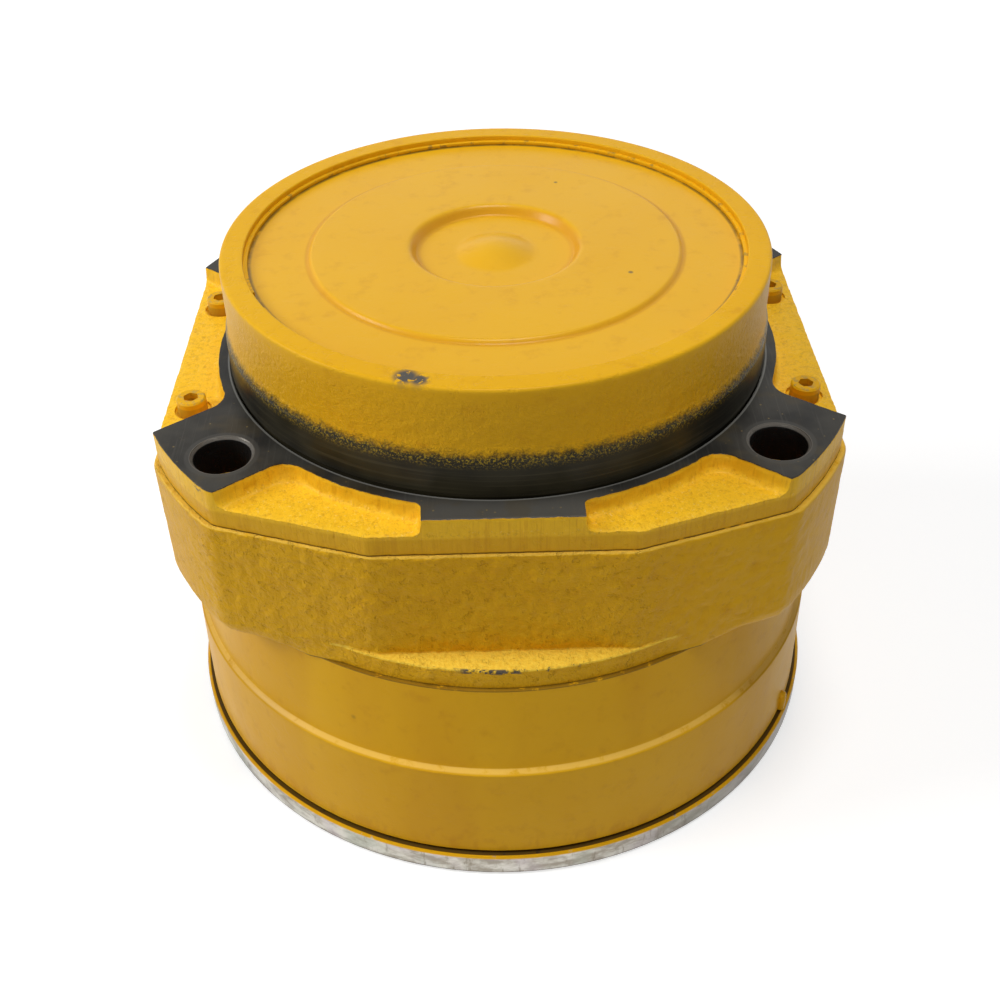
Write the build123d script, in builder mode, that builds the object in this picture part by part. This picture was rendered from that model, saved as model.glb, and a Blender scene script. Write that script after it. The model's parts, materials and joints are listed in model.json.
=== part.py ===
from build123d import *
import math
import os

os.makedirs("parts", exist_ok=True)

# Hydraulic drive motor: a fixed body with four mounting ears, and an output hub that turns under it.
# All sizes are millimetres. Z is the hub's axis, and Z = 0 is the hub's lower face.

# Levels along the axis
hub_flange_thickness = 11.5
running_gap = 1.2
step_z = 64.0
housing_top_z = 110.0
ledge_height = 10.0
casting_roof = 26.8
plate_thickness = 18.2
pilot_height = 17.5
cap_height = 50.0

# Round body: its outside radius, and the steps from it inwards
housing_r = 156.5
housing_flare = 1.0
hub_flange_overhang = 3.0
housing_step = 2.7
housing_step_height = 2.0
band_inset = 8.5
housing_crown = 1.5
pilot_inset = 25.5
pilot_relief_depth = 0.8
pilot_relief_height = 1.4
cap_undercut = 1.5
cap_shoulder = 5.5
cap_edge_r = 1.4

# Outline of the mounting plate and of the casting under it
land_width = 5.5
plate_side_margin = 19.5
plate_front_margin = 6.5
plate_corner_margin = 35.5
front_flat_half = 54.0
shoulder_angle = 18.5
casting_side_proud = 3.0
casting_front_proud = 1.5
casting_corner_proud = 2.5
casting_edge_r = 9.0

# Mounting ears, lands and cast pockets of the plate
ear_inset_x = 32.5
ear_inset_y = 45.5
ear_hole_r = 12.0
ear_hole_chamfer = 1.2
ear_side_width = 33.0
ear_front_width = 19.5
ear_blend_r = 11.0
ear_tip_r = 4.0
tongue_half_width = 32.0
tongue_blend_r = 3.5
pocket_depth = 8.0
pocket_root_r = 2.5
bore_lip = 0.6
frame_bolt_reach = 40.0

# Fits
slide_fit = 0.05
seat_gap = 0.05
disc_gap = 0.04
thread_play = 0.05

# Four socket screws that clamp the plate
plate_screw_inset = 12.0
plate_screw_y = 43.7
plate_screw_r = 4.0
plate_screw_head_r = 6.5
plate_screw_head_height = 8.0
plate_screw_hex = 6.0
plate_screw_hex_depth = 4.0
plate_screw_spotface_r = 8.0
plate_screw_spotface_depth = 1.5
plate_screw_reach = 18.0
screw_hole_play = 0.5
screw_head_edge = 0.6

# Eight long bolts that hold the casting to the bearing housing
body_bolt_inset = 12.0
body_bolt_angles = (8, 55, 125, 172, 188, 235, 305, 352)
body_bolt_r = 6.0
body_bolt_head_r = 9.0
body_bolt_head_height = 12.0
body_bolt_hex = 10.0
body_bolt_hex_depth = 6.0
body_bolt_reach = 24.0
bolt_head_play = 0.6

# Lobed cam ring
cam_wall = 24.0
cam_margin = 4.0
cam_ring_thickness = 19.5
cam_lift = 5.5
cam_lobes = 6
cam_points_per_lobe = 8
dowel_r = 4.0
dowel_length = 16.0
dowel_count = 3
dowel_inset = 6.0
dowel_start_angle = 30.0

# Cylinder block, pistons and rollers
block_clearance = 16.5
block_height = 40.0
block_bottom_z = 102.0
piston_count = 8
piston_bore_wall = 3.0
bore_floor_r = 50.0
piston_inner_r = 52.0
piston_proud = 1.0
roller_r = 12.0
roller_length = 22.0
roller_sink = 2.5
feed_hole_r = 4.5
feed_circle_r = 58.0
block_edge = 2.0

# Spline between hub and block, and between hub and brake shaft
spline_teeth = 16
spline_root_r = 37.0
spline_tip_r = 41.0
spline_tooth_width = 7.6
brake_spline_r = 18.0
brake_spline_depth = 28.0
brake_spline_teeth = 8
brake_spline_tooth_height = 2.5
brake_spline_tooth_width = 6.0

# Output hub
skirt_wall = 9.0
skirt_play = 1.5
hub_disc_top_z = 28.6
hub_pilot_inset = 50.5
hub_pilot_depth = 6.0
hub_core_r = 58.0
hub_core_depth = 14.0
hub_edge = 1.0
sprocket_bolt_inset = 25.5
sprocket_bolt_count = 12
sprocket_bolt_hole_r = 6.0
sprocket_bolt_depth = 19.0
hub_shoulder_step = 6.0
nut_thread_step = 3.0
nut_height = 7.0
nut_width = 17.0
nut_slots = 8
nut_slot_width = 8.0
nut_slot_depth = 4.0
lock_ring_height = 1.5
lock_ring_width = 14.0

# Tapered roller bearings
seal_to_bearing = 6.5
lower_bearing_section = 37.5
lower_bearing_bottom_z = 37.0
lower_bearing_width = 29.0
bearing_step = 12.5
upper_bearing_section = 35.0
upper_bearing_bottom_z = 69.5
upper_bearing_width = 22.0
bearing_rib_width = 6.0
cup_edge_thickness = 8.0
cup_back_thickness = 12.0
roller_play = 0.3
bearing_roller_r = 7.5
roller_taper_angle = 1.2
lower_roller_count = 22
upper_roller_count = 20
cone_lip = 2.5
roller_end_gap = 2.0
cage_thickness = 2.4
cage_end = 1.0
cage_window_play = 0.4

# Mechanical face seal between hub and housing
skirt_top_z = 30.0
seal_margin = 18.0
seal_width = 10.0
seal_face_z = 31.0
seal_ring_height = 6.0
seal_face_gap = 0.04
toric_r = 2.6

# Flow distributor in the casting's web
distributor_face_r = 66.0
distributor_mid_r = 58.0
distributor_top_r = 50.0
distributor_bore_r = 24.0
distributor_window_r = 4.5
distributor_window_depth = 8.0
distributor_step_1 = 8.5
distributor_step_2 = 9.0
distributor_groove_height = 3.0
distributor_groove_depth = 2.2
distributor_oil_depth = 5.0
distributor_land = 0.8
distributor_oil_land = 0.6
distributor_spring_height = 2.3
distributor_top_gap = 0.5
distributor_spring_width = 6.0

# Parking brake
foot_width = 4.3
foot_height = 6.0
web_height = 15.2
web_bore_r = 30.0
disc_pocket_wall = 2.5
disc_tab_length = 4.0
disc_tab_count = 12
disc_tab_width = 12.0
disc_tab_play = 0.4
disc_cavity_top = 2.0
steel_disc_count = 5
steel_disc_thickness = 1.6
steel_disc_inner_r = 56.0
friction_disc_thickness = 2.0
friction_disc_gap = 3.0
brake_hub_r = 46.0
brake_hub_tip_r = 49.0
brake_hub_teeth = 12
brake_hub_tooth_width = 10.0
brake_hub_end_gap = 0.2
disc_spline_play = 0.3
brake_shaft_r = 20.0
piston_wall = 2.0
piston_step_width = 6.5
piston_bore_r = 42.0
piston_step_height = 9.0
piston_height = 17.0
piston_seal_width = 3.0
piston_seal_depth = 2.4
piston_rim = 4.0
release_gap = 1.0
spring_edge_gap = 3.0
spring_inner_r = 62.0
spring_thickness = 3.4
spring_cone_height = 5.6
stop_ring_height = 3.0
stop_ring_width = 7.0
stop_ring_bite = 2.2

# Pressed cover and its retaining ring
cap_rim_width = 10.4
cover_seat_width = 4.6
cover_thickness = 2.6
cover_drop = 4.2
plateau_margin = 23.0
plateau_rise = 1.6
plateau_run = 3.0
recess_r = 38.5
recess_depth = 3.4
recess_run = 4.0
cover_bend = 1.0
dome_r = 17.5
dome_height = 2.6
retaining_ring_height = 1.8
retaining_ring_lap = 1.7
retaining_ring_bite = 1.8
ring_gap_width = 14.0
ring_gap_place = 205.0

# Sealing rings between the fixed pieces
o_ring_r = 1.2
o_ring_groove_width = 2.6
housing_o_ring_margin = 3.0
brake_o_ring_inset = 5.5

# Threaded ports in the back of the casting
port_spacing = 84.0
port_drop = 13.4
port_r = 11.1
port_depth = 16.0
gallery_r = 3.4
brake_port_r = 5.1
brake_port_depth = 14.0
drain_port_rise = 23.0
drain_port_r = 6.5
drain_port_depth = 9.0

# Small cast lug on the housing, beside the running gap
lug_angle = -28.0
lug_width = 5.0
lug_height = 11.0
lug_proud = 2.6

# Radii of the round body, from the outside inwards
housing_foot_r = housing_r + housing_flare
hub_flange_r = housing_foot_r + hub_flange_overhang
band_r = housing_r - band_inset
pilot_r = band_r - pilot_inset
neck_r = pilot_r - pilot_relief_depth
cap_r = pilot_r - cap_undercut
foot_r = pilot_r + foot_width
body_bolt_circle_r = band_r - body_bolt_inset
hub_pilot_r = hub_flange_r - hub_pilot_inset
sprocket_bolt_circle_r = hub_flange_r - sprocket_bolt_inset

# Radii of the seal and the bearings
skirt_r = housing_foot_r - skirt_wall
hub_disc_r = skirt_r - skirt_play
seal_outer_r = hub_disc_r - seal_margin
seal_inner_r = seal_outer_r - seal_width
seal_cavity_r = seal_outer_r + 2 * toric_r + 2 * seat_gap
lower_bearing_r = seal_inner_r - seal_to_bearing
lower_seat_r = lower_bearing_r - lower_bearing_section
upper_bearing_r = lower_bearing_r - bearing_step
upper_seat_r = upper_bearing_r - upper_bearing_section
bearing_rib_r = upper_bearing_r - bearing_rib_width
hub_shoulder_r = bearing_rib_r - hub_shoulder_step
nut_thread_r = upper_seat_r - nut_thread_step
nut_r = nut_thread_r + nut_width
lock_ring_r = nut_thread_r + lock_ring_width

# Radii of the cam ring and the cylinder block
cam_ring_r = band_r - cam_wall
cam_mean_r = cam_ring_r - cam_ring_thickness
dowel_circle_r = cam_ring_r - dowel_inset
housing_o_ring_r = cam_ring_r + housing_o_ring_margin
block_r = cam_mean_r - block_clearance
piston_outer_r = block_r + piston_proud
roller_centre_r = block_r - roller_sink

# Radii of the brake and its cover
brake_o_ring_r = pilot_r - brake_o_ring_inset
rim_inner_r = cap_r - cap_rim_width
retaining_ring_inner_r = rim_inner_r - retaining_ring_lap
cover_seat_r = rim_inner_r - cover_seat_width
plateau_r = cover_seat_r - plateau_margin
piston_large_r = cover_seat_r - piston_wall
piston_small_r = piston_large_r - piston_step_width
spring_outer_r = piston_large_r - spring_edge_gap
stop_ring_inner_r = piston_large_r - stop_ring_width
disc_tab_r = piston_small_r - disc_pocket_wall
disc_cavity_r = disc_tab_r - disc_tab_length
friction_disc_outer_r = disc_cavity_r - friction_disc_gap

# Outline of the plate, its ears and the casting
land_r = pilot_r + land_width
plate_half_width = land_r + plate_side_margin
plate_half_depth = land_r + plate_front_margin
plate_corner_r = land_r + plate_corner_margin
ear_spacing_x = 2 * (plate_half_width - ear_inset_x)
ear_spacing_y = 2 * (plate_half_depth - ear_inset_y)
plate_screw_x = plate_half_width - plate_screw_inset
casting_half_width = plate_half_width + casting_side_proud
casting_half_depth = plate_half_depth + casting_front_proud
casting_corner_r = plate_corner_r + casting_corner_proud
ear_angle = math.degrees(math.atan2(ear_spacing_y, ear_spacing_x))

# Levels worked out from the sizes, from the cylinder block upwards
cam_bottom_z = block_bottom_z - cam_margin
cam_ring_height = block_height + 2 * cam_margin
cam_top_z = cam_bottom_z + cam_ring_height
piston_r = block_height / 2 - piston_bore_wall
distributor_step_1_z = cam_top_z + distributor_step_1
distributor_step_2_z = distributor_step_1_z + distributor_step_2
casting_top_z = cam_top_z + casting_roof
casting_height = casting_top_z - housing_top_z
plate_top_z = casting_top_z + plate_thickness
pilot_top_z = plate_top_z + pilot_height
cap_top_z = plate_top_z + cap_height
port_z = casting_top_z - port_drop
drain_port_z = housing_top_z + drain_port_rise
pocket_floor_z = plate_top_z - pocket_depth
seal_floor_z = seal_face_z - seal_ring_height
housing_bottom_z = hub_flange_thickness + running_gap
block_top_z = block_bottom_z + block_height
block_mid_z = block_bottom_z + block_height / 2
lower_bearing_top_z = lower_bearing_bottom_z + lower_bearing_width
upper_bearing_top_z = upper_bearing_bottom_z + upper_bearing_width
web_top_z = casting_top_z + web_height
disc_stack = (steel_disc_count * steel_disc_thickness
              + (steel_disc_count - 1) * friction_disc_thickness
              + 2 * steel_disc_count * disc_gap)
piston_bottom_z = web_top_z + disc_stack
piston_step_z = piston_bottom_z + piston_step_height
piston_top_z = piston_bottom_z + piston_height
spring_top_z = piston_top_z + spring_thickness + spring_cone_height
stop_ring_z = spring_top_z
cover_top_z = cap_top_z - cover_drop
cover_seat_z = cover_top_z - cover_thickness
spotface_z = pocket_floor_z - plate_screw_spotface_depth
gallery_rise = distributor_land + distributor_oil_land + 1.5 * distributor_groove_height
gallery_a_z = cam_top_z + gallery_rise
gallery_b_z = distributor_step_1_z + gallery_rise
body_bolt_seat_z = casting_top_z - body_bolt_head_height - bolt_head_play


def keep(builder, name):
    builder.part.label = name
    export_step(builder.part, f"parts/{name}.step")


def shouldered_outline(half_width, half_depth, corner_r):
    """Plan of plate and casting: flat front and back, slanting shoulders, straight sides, round corners."""
    shoulder_drop = (half_width - front_flat_half) * math.tan(math.radians(shoulder_angle))
    shoulder_y = half_depth - shoulder_drop
    corners = [(front_flat_half, half_depth), (half_width, shoulder_y)]
    quarter = corners + [(x, -y) for x, y in reversed(corners)]
    points = quarter + [(-x, y) for x, y in reversed(quarter)]
    with BuildSketch() as outline:
        with BuildLine():
            Polyline(*points, close=True)
        make_face()
        Circle(corner_r, mode=Mode.INTERSECT)
    return outline.sketch


def turned(points):
    """A turned piece, from half of its section as (radius, height) points."""
    with BuildPart() as piece:
        with BuildSketch(Plane.XZ):
            with BuildLine():
                Polyline(*points, close=True)
            make_face()
        revolve(axis=Axis.Z)
    return piece


def ring(inner_r, outer_r, bottom_z, top_z):
    with BuildPart() as piece:
        with BuildSketch(Plane.XY.offset(bottom_z)):
            Circle(outer_r)
            Circle(inner_r, mode=Mode.SUBTRACT)
        extrude(amount=top_z - bottom_z)
    return piece


def round_ring(centre_r, section_r, z):
    """A rubber ring of round section."""
    with BuildPart() as piece:
        with BuildSketch(Plane.XZ):
            with Locations((centre_r, z)):
                Circle(section_r)
        revolve(axis=Axis.Z)
    return piece


def toothed(root_r, tip_r, teeth, tooth_width):
    """Plan of a splined shaft: a round core with straight-sided teeth."""
    tooth_height = tip_r - root_r
    with BuildSketch() as plan:
        Circle(root_r)
        with PolarLocations(root_r + tooth_height / 2 - tooth_height / 4, teeth):
            Rectangle(tooth_height * 1.5, tooth_width)
    return plan.sketch


def grown_teeth(root_r, tip_r, teeth, tooth_width, play):
    """The same plan with room all round, for the hole that takes the splined shaft."""
    return toothed(root_r + play, tip_r + play, teeth, tooth_width + 2 * play)


def radial_plane(angle, distance):
    """A plane facing outwards from the axis at the middle of the cylinder block."""
    turn = math.radians(angle)
    outwards = (math.cos(turn), math.sin(turn), 0)
    return Plane(
        origin=(distance * math.cos(turn), distance * math.sin(turn), block_mid_z),
        x_dir=(-math.sin(turn), math.cos(turn), 0),
        z_dir=outwards,
    )


# Output hub with its sprocket flange, bearing seats and splined end
hub_section = [
    (0, hub_core_depth),
    (hub_core_r, hub_core_depth),
    (hub_core_r, hub_pilot_depth),
    (hub_pilot_r, hub_pilot_depth),
    (hub_pilot_r, 0),
    (hub_flange_r - hub_edge, 0),
    (hub_flange_r, hub_edge),
    (hub_flange_r, hub_flange_thickness - hub_edge),
    (hub_flange_r - hub_edge, hub_flange_thickness),
    (hub_disc_r, hub_flange_thickness),
    (hub_disc_r, hub_disc_top_z),
    (seal_cavity_r, hub_disc_top_z),
    (seal_cavity_r, seal_floor_z),
    (seal_inner_r - seat_gap, seal_floor_z),
    (seal_inner_r - seat_gap, seal_face_z),
    (hub_shoulder_r, seal_face_z),
    (hub_shoulder_r, lower_bearing_bottom_z),
    (lower_seat_r, lower_bearing_bottom_z),
    (lower_seat_r, upper_bearing_bottom_z),
    (upper_seat_r, upper_bearing_bottom_z),
    (upper_seat_r, upper_bearing_top_z),
    (nut_thread_r, upper_bearing_top_z),
    (nut_thread_r, block_bottom_z),
    (0, block_bottom_z),
]
with BuildPart() as output_hub:
    with BuildSketch(Plane.XZ):
        with BuildLine():
            Polyline(*hub_section, close=True)
        make_face()
    revolve(axis=Axis.Z)
    with BuildSketch(Plane.XY.offset(block_bottom_z)):
        add(toothed(spline_root_r, spline_tip_r, spline_teeth, spline_tooth_width))
    extrude(amount=block_height)
    with BuildSketch(Plane.XY.offset(block_top_z)):
        add(grown_teeth(brake_spline_r, brake_spline_r + brake_spline_tooth_height,
                        brake_spline_teeth, brake_spline_tooth_width, slide_fit))
    extrude(amount=-brake_spline_depth, mode=Mode.SUBTRACT)
    with BuildSketch(Plane.XY):
        with PolarLocations(sprocket_bolt_circle_r, sprocket_bolt_count):
            Circle(sprocket_bolt_hole_r)
    extrude(amount=sprocket_bolt_depth, mode=Mode.SUBTRACT)
keep(output_hub, "output_hub")

# Bearing housing, the round drum above the hub's flange
housing_section = [
    (skirt_r, housing_bottom_z),
    (housing_foot_r, housing_bottom_z),
    (housing_r, step_z),
    (housing_r - housing_step, step_z + housing_step_height),
    (band_r + housing_crown, housing_top_z),
    (cam_ring_r + slide_fit, housing_top_z),
    (cam_ring_r + slide_fit, cam_bottom_z),
    (upper_bearing_r + slide_fit, cam_bottom_z),
    (upper_bearing_r + slide_fit, upper_bearing_bottom_z),
    (bearing_rib_r, upper_bearing_bottom_z),
    (bearing_rib_r, lower_bearing_top_z),
    (lower_bearing_r + slide_fit, lower_bearing_top_z),
    (lower_bearing_r + slide_fit, lower_bearing_bottom_z),
    (seal_cavity_r, lower_bearing_bottom_z),
    (seal_cavity_r, skirt_top_z),
    (skirt_r, skirt_top_z),
]
with BuildPart() as bearing_housing:
    with BuildSketch(Plane.XZ):
        with BuildLine():
            Polyline(*housing_section, close=True)
        make_face()
    revolve(axis=Axis.Z)
    with BuildSketch(Plane.XY.offset(housing_top_z)):
        Circle(housing_o_ring_r + o_ring_groove_width / 2)
        Circle(housing_o_ring_r - o_ring_groove_width / 2, mode=Mode.SUBTRACT)
    extrude(amount=-2 * o_ring_r, mode=Mode.SUBTRACT)
    with BuildSketch(Plane.XY.offset(housing_top_z)):
        for angle in body_bolt_angles:
            with PolarLocations(body_bolt_circle_r, 1, start_angle=angle):
                Circle(body_bolt_r + thread_play)
    extrude(amount=-body_bolt_reach - screw_hole_play, mode=Mode.SUBTRACT)
    with BuildSketch(Plane.XY.offset(housing_bottom_z)):
        with PolarLocations(housing_foot_r - lug_proud / 2, 1, start_angle=lug_angle):
            RectangleRounded(2 * lug_proud, lug_width, lug_proud / 2)
    extrude(amount=lug_height)
keep(bearing_housing, "bearing_housing")

# Motor casting: the block with four corners that holds the cam ring and the distributor
with BuildPart() as motor_casting:
    with BuildSketch(Plane.XY.offset(housing_top_z)):
        add(shouldered_outline(casting_half_width, casting_half_depth, casting_corner_r))
    extrude(amount=casting_height)
    upright_edges = motor_casting.edges().filter_by(Axis.Z)
    fillet(upright_edges, casting_edge_r)
    lower_rim = motor_casting.faces().sort_by(Axis.Z)[0].edges()
    corner_rim = lower_rim.filter_by(GeomType.CIRCLE).filter_by(
        lambda edge: edge.radius > casting_half_depth)
    fillet(corner_rim, casting_edge_r)
    with BuildSketch(Plane.XY.offset(housing_top_z)):
        Circle(band_r)
    extrude(amount=ledge_height)
    with BuildSketch(Plane.XY.offset(housing_top_z)):
        Circle(cam_ring_r + slide_fit)
    extrude(amount=cam_top_z - housing_top_z, mode=Mode.SUBTRACT)
    for radius, bottom_z, top_z in (
        (distributor_face_r, cam_top_z, distributor_step_1_z),
        (distributor_mid_r, distributor_step_1_z, distributor_step_2_z),
        (distributor_top_r, distributor_step_2_z, casting_top_z),
    ):
        with BuildSketch(Plane.XY.offset(bottom_z)):
            Circle(radius + slide_fit)
        extrude(amount=top_z - bottom_z, mode=Mode.SUBTRACT)
    with BuildSketch(Plane.XY.offset(cam_top_z)):
        with PolarLocations(dowel_circle_r, dowel_count, start_angle=dowel_start_angle):
            Circle(dowel_r + seat_gap)
    extrude(amount=dowel_length / 2 + seat_gap, mode=Mode.SUBTRACT)
    with BuildSketch(Plane.XY.offset(casting_top_z)):
        with GridLocations(ear_spacing_x, ear_spacing_y, 2, 2):
            Circle(ear_hole_r)
    extrude(amount=-frame_bolt_reach, mode=Mode.SUBTRACT)
    with BuildSketch(Plane.XY.offset(casting_top_z)):
        with GridLocations(2 * plate_screw_x, 2 * plate_screw_y, 2, 2):
            Circle(plate_screw_r + thread_play)
    extrude(amount=-plate_screw_reach - screw_hole_play, mode=Mode.SUBTRACT)
    for angle in body_bolt_angles:
        with Locations(Plane.XY.offset(casting_top_z)):
            with PolarLocations(body_bolt_circle_r, 1, start_angle=angle):
                CounterBoreHole(
                    radius=body_bolt_r + screw_hole_play,
                    counter_bore_radius=body_bolt_head_r + bolt_head_play,
                    counter_bore_depth=body_bolt_head_height + bolt_head_play,
                    depth=casting_height,
                )
    back = Plane(origin=(0, casting_half_depth, 0), x_dir=(1, 0, 0), z_dir=(0, -1, 0))
    with BuildSketch(back):
        with Locations((-port_spacing / 2, port_z), (port_spacing / 2, port_z)):
            Circle(port_r + thread_play)
    extrude(amount=port_depth, mode=Mode.SUBTRACT)
    with BuildSketch(back):
        with Locations((0, port_z)):
            Circle(brake_port_r + thread_play)
    extrude(amount=brake_port_depth, mode=Mode.SUBTRACT)
    with BuildSketch(back):
        with Locations((0, drain_port_z)):
            Circle(drain_port_r + thread_play)
    extrude(amount=drain_port_depth, mode=Mode.SUBTRACT)
    with BuildSketch(back):
        with Locations((-port_spacing / 2, gallery_a_z), (port_spacing / 2, gallery_b_z)):
            Circle(gallery_r)
    extrude(amount=casting_half_depth - distributor_mid_r / 2, mode=Mode.SUBTRACT)
keep(motor_casting, "motor_casting")

# Plan of the machined lands on top of the plate: a ring, a tongue at front and back, and four ears
ear_width = ear_side_width + ear_front_width
with BuildSketch() as lands:
    Circle(land_r)
    Rectangle(2 * tongue_half_width, 2 * casting_half_depth)
    for side in (-1, 1):
        for end in (-1, 1):
            ear = Location((0, 0, 0), (0, 0, side * end * ear_angle))
            with Locations(ear):
                with Locations((side * casting_corner_r, -end * (ear_side_width - ear_front_width) / 2)):
                    Rectangle(casting_corner_r, ear_width)
    inner_corners = lands.vertices().filter_by(
        lambda corner: abs(math.hypot(corner.X, corner.Y) - land_r) < seat_gap)
    tongue_corners = inner_corners.filter_by(lambda corner: abs(corner.X) < tongue_half_width + seat_gap)
    ear_corners = inner_corners.filter_by(lambda corner: abs(corner.X) > tongue_half_width + seat_gap)
    fillet(tongue_corners, tongue_blend_r)
    fillet(ear_corners, ear_blend_r)

land_outline = lands.sketch.moved(Location((0, 0, pocket_floor_z))).edges()


def under_land_wall(edge):
    """True for an edge of a pocket's floor that runs along the foot of a land's wall."""
    middle = Vertex(*(edge @ 0.5))
    return min(line.distance_to(middle) for line in land_outline) < seat_gap


# Mounting plate with four ears, a machined land round the brake and rough cast pockets between
with BuildPart() as flange_plate:
    with BuildSketch(Plane.XY.offset(casting_top_z)):
        add(shouldered_outline(plate_half_width, plate_half_depth, plate_corner_r))
    extrude(amount=plate_thickness)
    fillet(flange_plate.edges().filter_by(Axis.Z), ear_tip_r)
    with BuildSketch(Plane.XY.offset(plate_top_z)):
        Circle(2 * land_r)
        add(lands.sketch, mode=Mode.SUBTRACT)
    extrude(amount=-pocket_depth, mode=Mode.SUBTRACT)
    floor_edges = flange_plate.edges().filter_by_position(Axis.Z, pocket_floor_z, pocket_floor_z)
    fillet(floor_edges.filter_by(under_land_wall), pocket_root_r)
    with BuildSketch(Plane.XY.offset(casting_top_z)):
        Circle(pilot_r + seat_gap)
    extrude(amount=plate_thickness, mode=Mode.SUBTRACT)
    with BuildSketch(Plane.XY.offset(casting_top_z)):
        Circle(foot_r + seat_gap)
    extrude(amount=foot_height, mode=Mode.SUBTRACT)
    with BuildSketch(Plane.XY.offset(plate_top_z)):
        with GridLocations(ear_spacing_x, ear_spacing_y, 2, 2):
            Circle(ear_hole_r)
    extrude(amount=-plate_thickness, mode=Mode.SUBTRACT)
    bore_mouth = flange_plate.edges().filter_by(GeomType.CIRCLE).group_by(Axis.Z)[-1]
    chamfer(bore_mouth.filter_by(lambda edge: abs(edge.radius - pilot_r) < 2 * seat_gap), bore_lip)
    ear_mouths = flange_plate.edges().filter_by(GeomType.CIRCLE).group_by(Axis.Z)[-1]
    chamfer(ear_mouths.filter_by(lambda edge: edge.radius < 2 * ear_hole_r), ear_hole_chamfer)
    with BuildSketch(Plane.XY.offset(pocket_floor_z)):
        with GridLocations(2 * plate_screw_x, 2 * plate_screw_y, 2, 2):
            Circle(plate_screw_spotface_r)
    extrude(amount=-plate_screw_spotface_depth, mode=Mode.SUBTRACT)
    with BuildSketch(Plane.XY.offset(pocket_floor_z)):
        with GridLocations(2 * plate_screw_x, 2 * plate_screw_y, 2, 2):
            Circle(plate_screw_r + screw_hole_play)
    extrude(amount=-plate_thickness, mode=Mode.SUBTRACT)
keep(flange_plate, "flange_plate")

# Socket screws of the plate, their heads standing on spot faces in the side pockets
with BuildPart() as plate_screws:
    with BuildSketch(Plane.XY.offset(spotface_z)):
        with GridLocations(2 * plate_screw_x, 2 * plate_screw_y, 2, 2):
            Circle(plate_screw_head_r)
    extrude(amount=plate_screw_head_height)
    with BuildSketch(Plane.XY.offset(spotface_z)):
        with GridLocations(2 * plate_screw_x, 2 * plate_screw_y, 2, 2):
            Circle(plate_screw_r)
    extrude(amount=casting_top_z - plate_screw_reach - spotface_z)
    head_edges = plate_screws.edges().filter_by(GeomType.CIRCLE).group_by(Axis.Z)[-1]
    chamfer(head_edges, screw_head_edge)
    with BuildSketch(Plane.XY.offset(spotface_z + plate_screw_head_height)):
        with GridLocations(2 * plate_screw_x, 2 * plate_screw_y, 2, 2):
            RegularPolygon(plate_screw_hex / 2, 6, major_radius=False)
    extrude(amount=-plate_screw_hex_depth, mode=Mode.SUBTRACT)
keep(plate_screws, "plate_screws")

# Long bolts from the casting down into the bearing housing
with BuildPart() as body_bolts:
    for angle in body_bolt_angles:
        with BuildSketch(Plane.XY.offset(body_bolt_seat_z)):
            with PolarLocations(body_bolt_circle_r, 1, start_angle=angle):
                Circle(body_bolt_head_r)
        extrude(amount=body_bolt_head_height)
        with BuildSketch(Plane.XY.offset(body_bolt_seat_z)):
            with PolarLocations(body_bolt_circle_r, 1, start_angle=angle):
                Circle(body_bolt_r)
        extrude(amount=housing_top_z - body_bolt_reach - body_bolt_seat_z)
        with BuildSketch(Plane.XY.offset(body_bolt_seat_z + body_bolt_head_height)):
            with PolarLocations(body_bolt_circle_r, 1, start_angle=angle):
                RegularPolygon(body_bolt_hex / 2, 6, major_radius=False)
        extrude(amount=-body_bolt_hex_depth, mode=Mode.SUBTRACT)
keep(body_bolts, "body_bolts")

# Cam ring with a smooth wave inside, one lobe for each working stroke of the pistons
wave_points = [
    (
        (cam_mean_r + cam_lift * math.cos(cam_lobes * turn)) * math.cos(turn),
        (cam_mean_r + cam_lift * math.cos(cam_lobes * turn)) * math.sin(turn),
    )
    for turn in (2 * math.pi * i / (cam_lobes * cam_points_per_lobe)
                 for i in range(cam_lobes * cam_points_per_lobe))
]
with BuildPart() as cam_ring:
    with BuildSketch(Plane.XY.offset(cam_bottom_z)):
        Circle(cam_ring_r)
        with BuildLine():
            Spline(*wave_points, periodic=True)
        make_face(mode=Mode.SUBTRACT)
        with PolarLocations(dowel_circle_r, dowel_count, start_angle=dowel_start_angle):
            Circle(dowel_r + seat_gap, mode=Mode.SUBTRACT)
    extrude(amount=cam_ring_height)
keep(cam_ring, "cam_ring")

# Dowels that stop the cam ring from turning in the casting
with BuildPart() as cam_dowels:
    with BuildSketch(Plane.XY.offset(cam_top_z)):
        with PolarLocations(dowel_circle_r, dowel_count, start_angle=dowel_start_angle):
            Circle(dowel_r)
    extrude(amount=dowel_length / 2, both=True)
keep(cam_dowels, "cam_dowels")

# Cylinder block on the hub's spline, with radial bores and a feed hole into each
with BuildPart() as cylinder_block:
    with BuildSketch(Plane.XY.offset(block_bottom_z)):
        Circle(block_r)
        add(grown_teeth(spline_root_r, spline_tip_r, spline_teeth, spline_tooth_width, slide_fit),
            mode=Mode.SUBTRACT)
    extrude(amount=block_height)
    block_rims = cylinder_block.edges().filter_by(GeomType.CIRCLE).filter_by(
        lambda edge: edge.radius > block_r - seat_gap)
    chamfer(block_rims, block_edge)
    for i in range(piston_count):
        with BuildSketch(radial_plane(360 * i / piston_count, bore_floor_r)):
            Circle(piston_r + slide_fit)
        extrude(amount=block_r, mode=Mode.SUBTRACT)
    with BuildSketch(Plane.XY.offset(block_top_z)):
        with PolarLocations(feed_circle_r, piston_count):
            Circle(feed_hole_r)
    extrude(amount=-block_height / 2, mode=Mode.SUBTRACT)
keep(cylinder_block, "cylinder_block")

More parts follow.
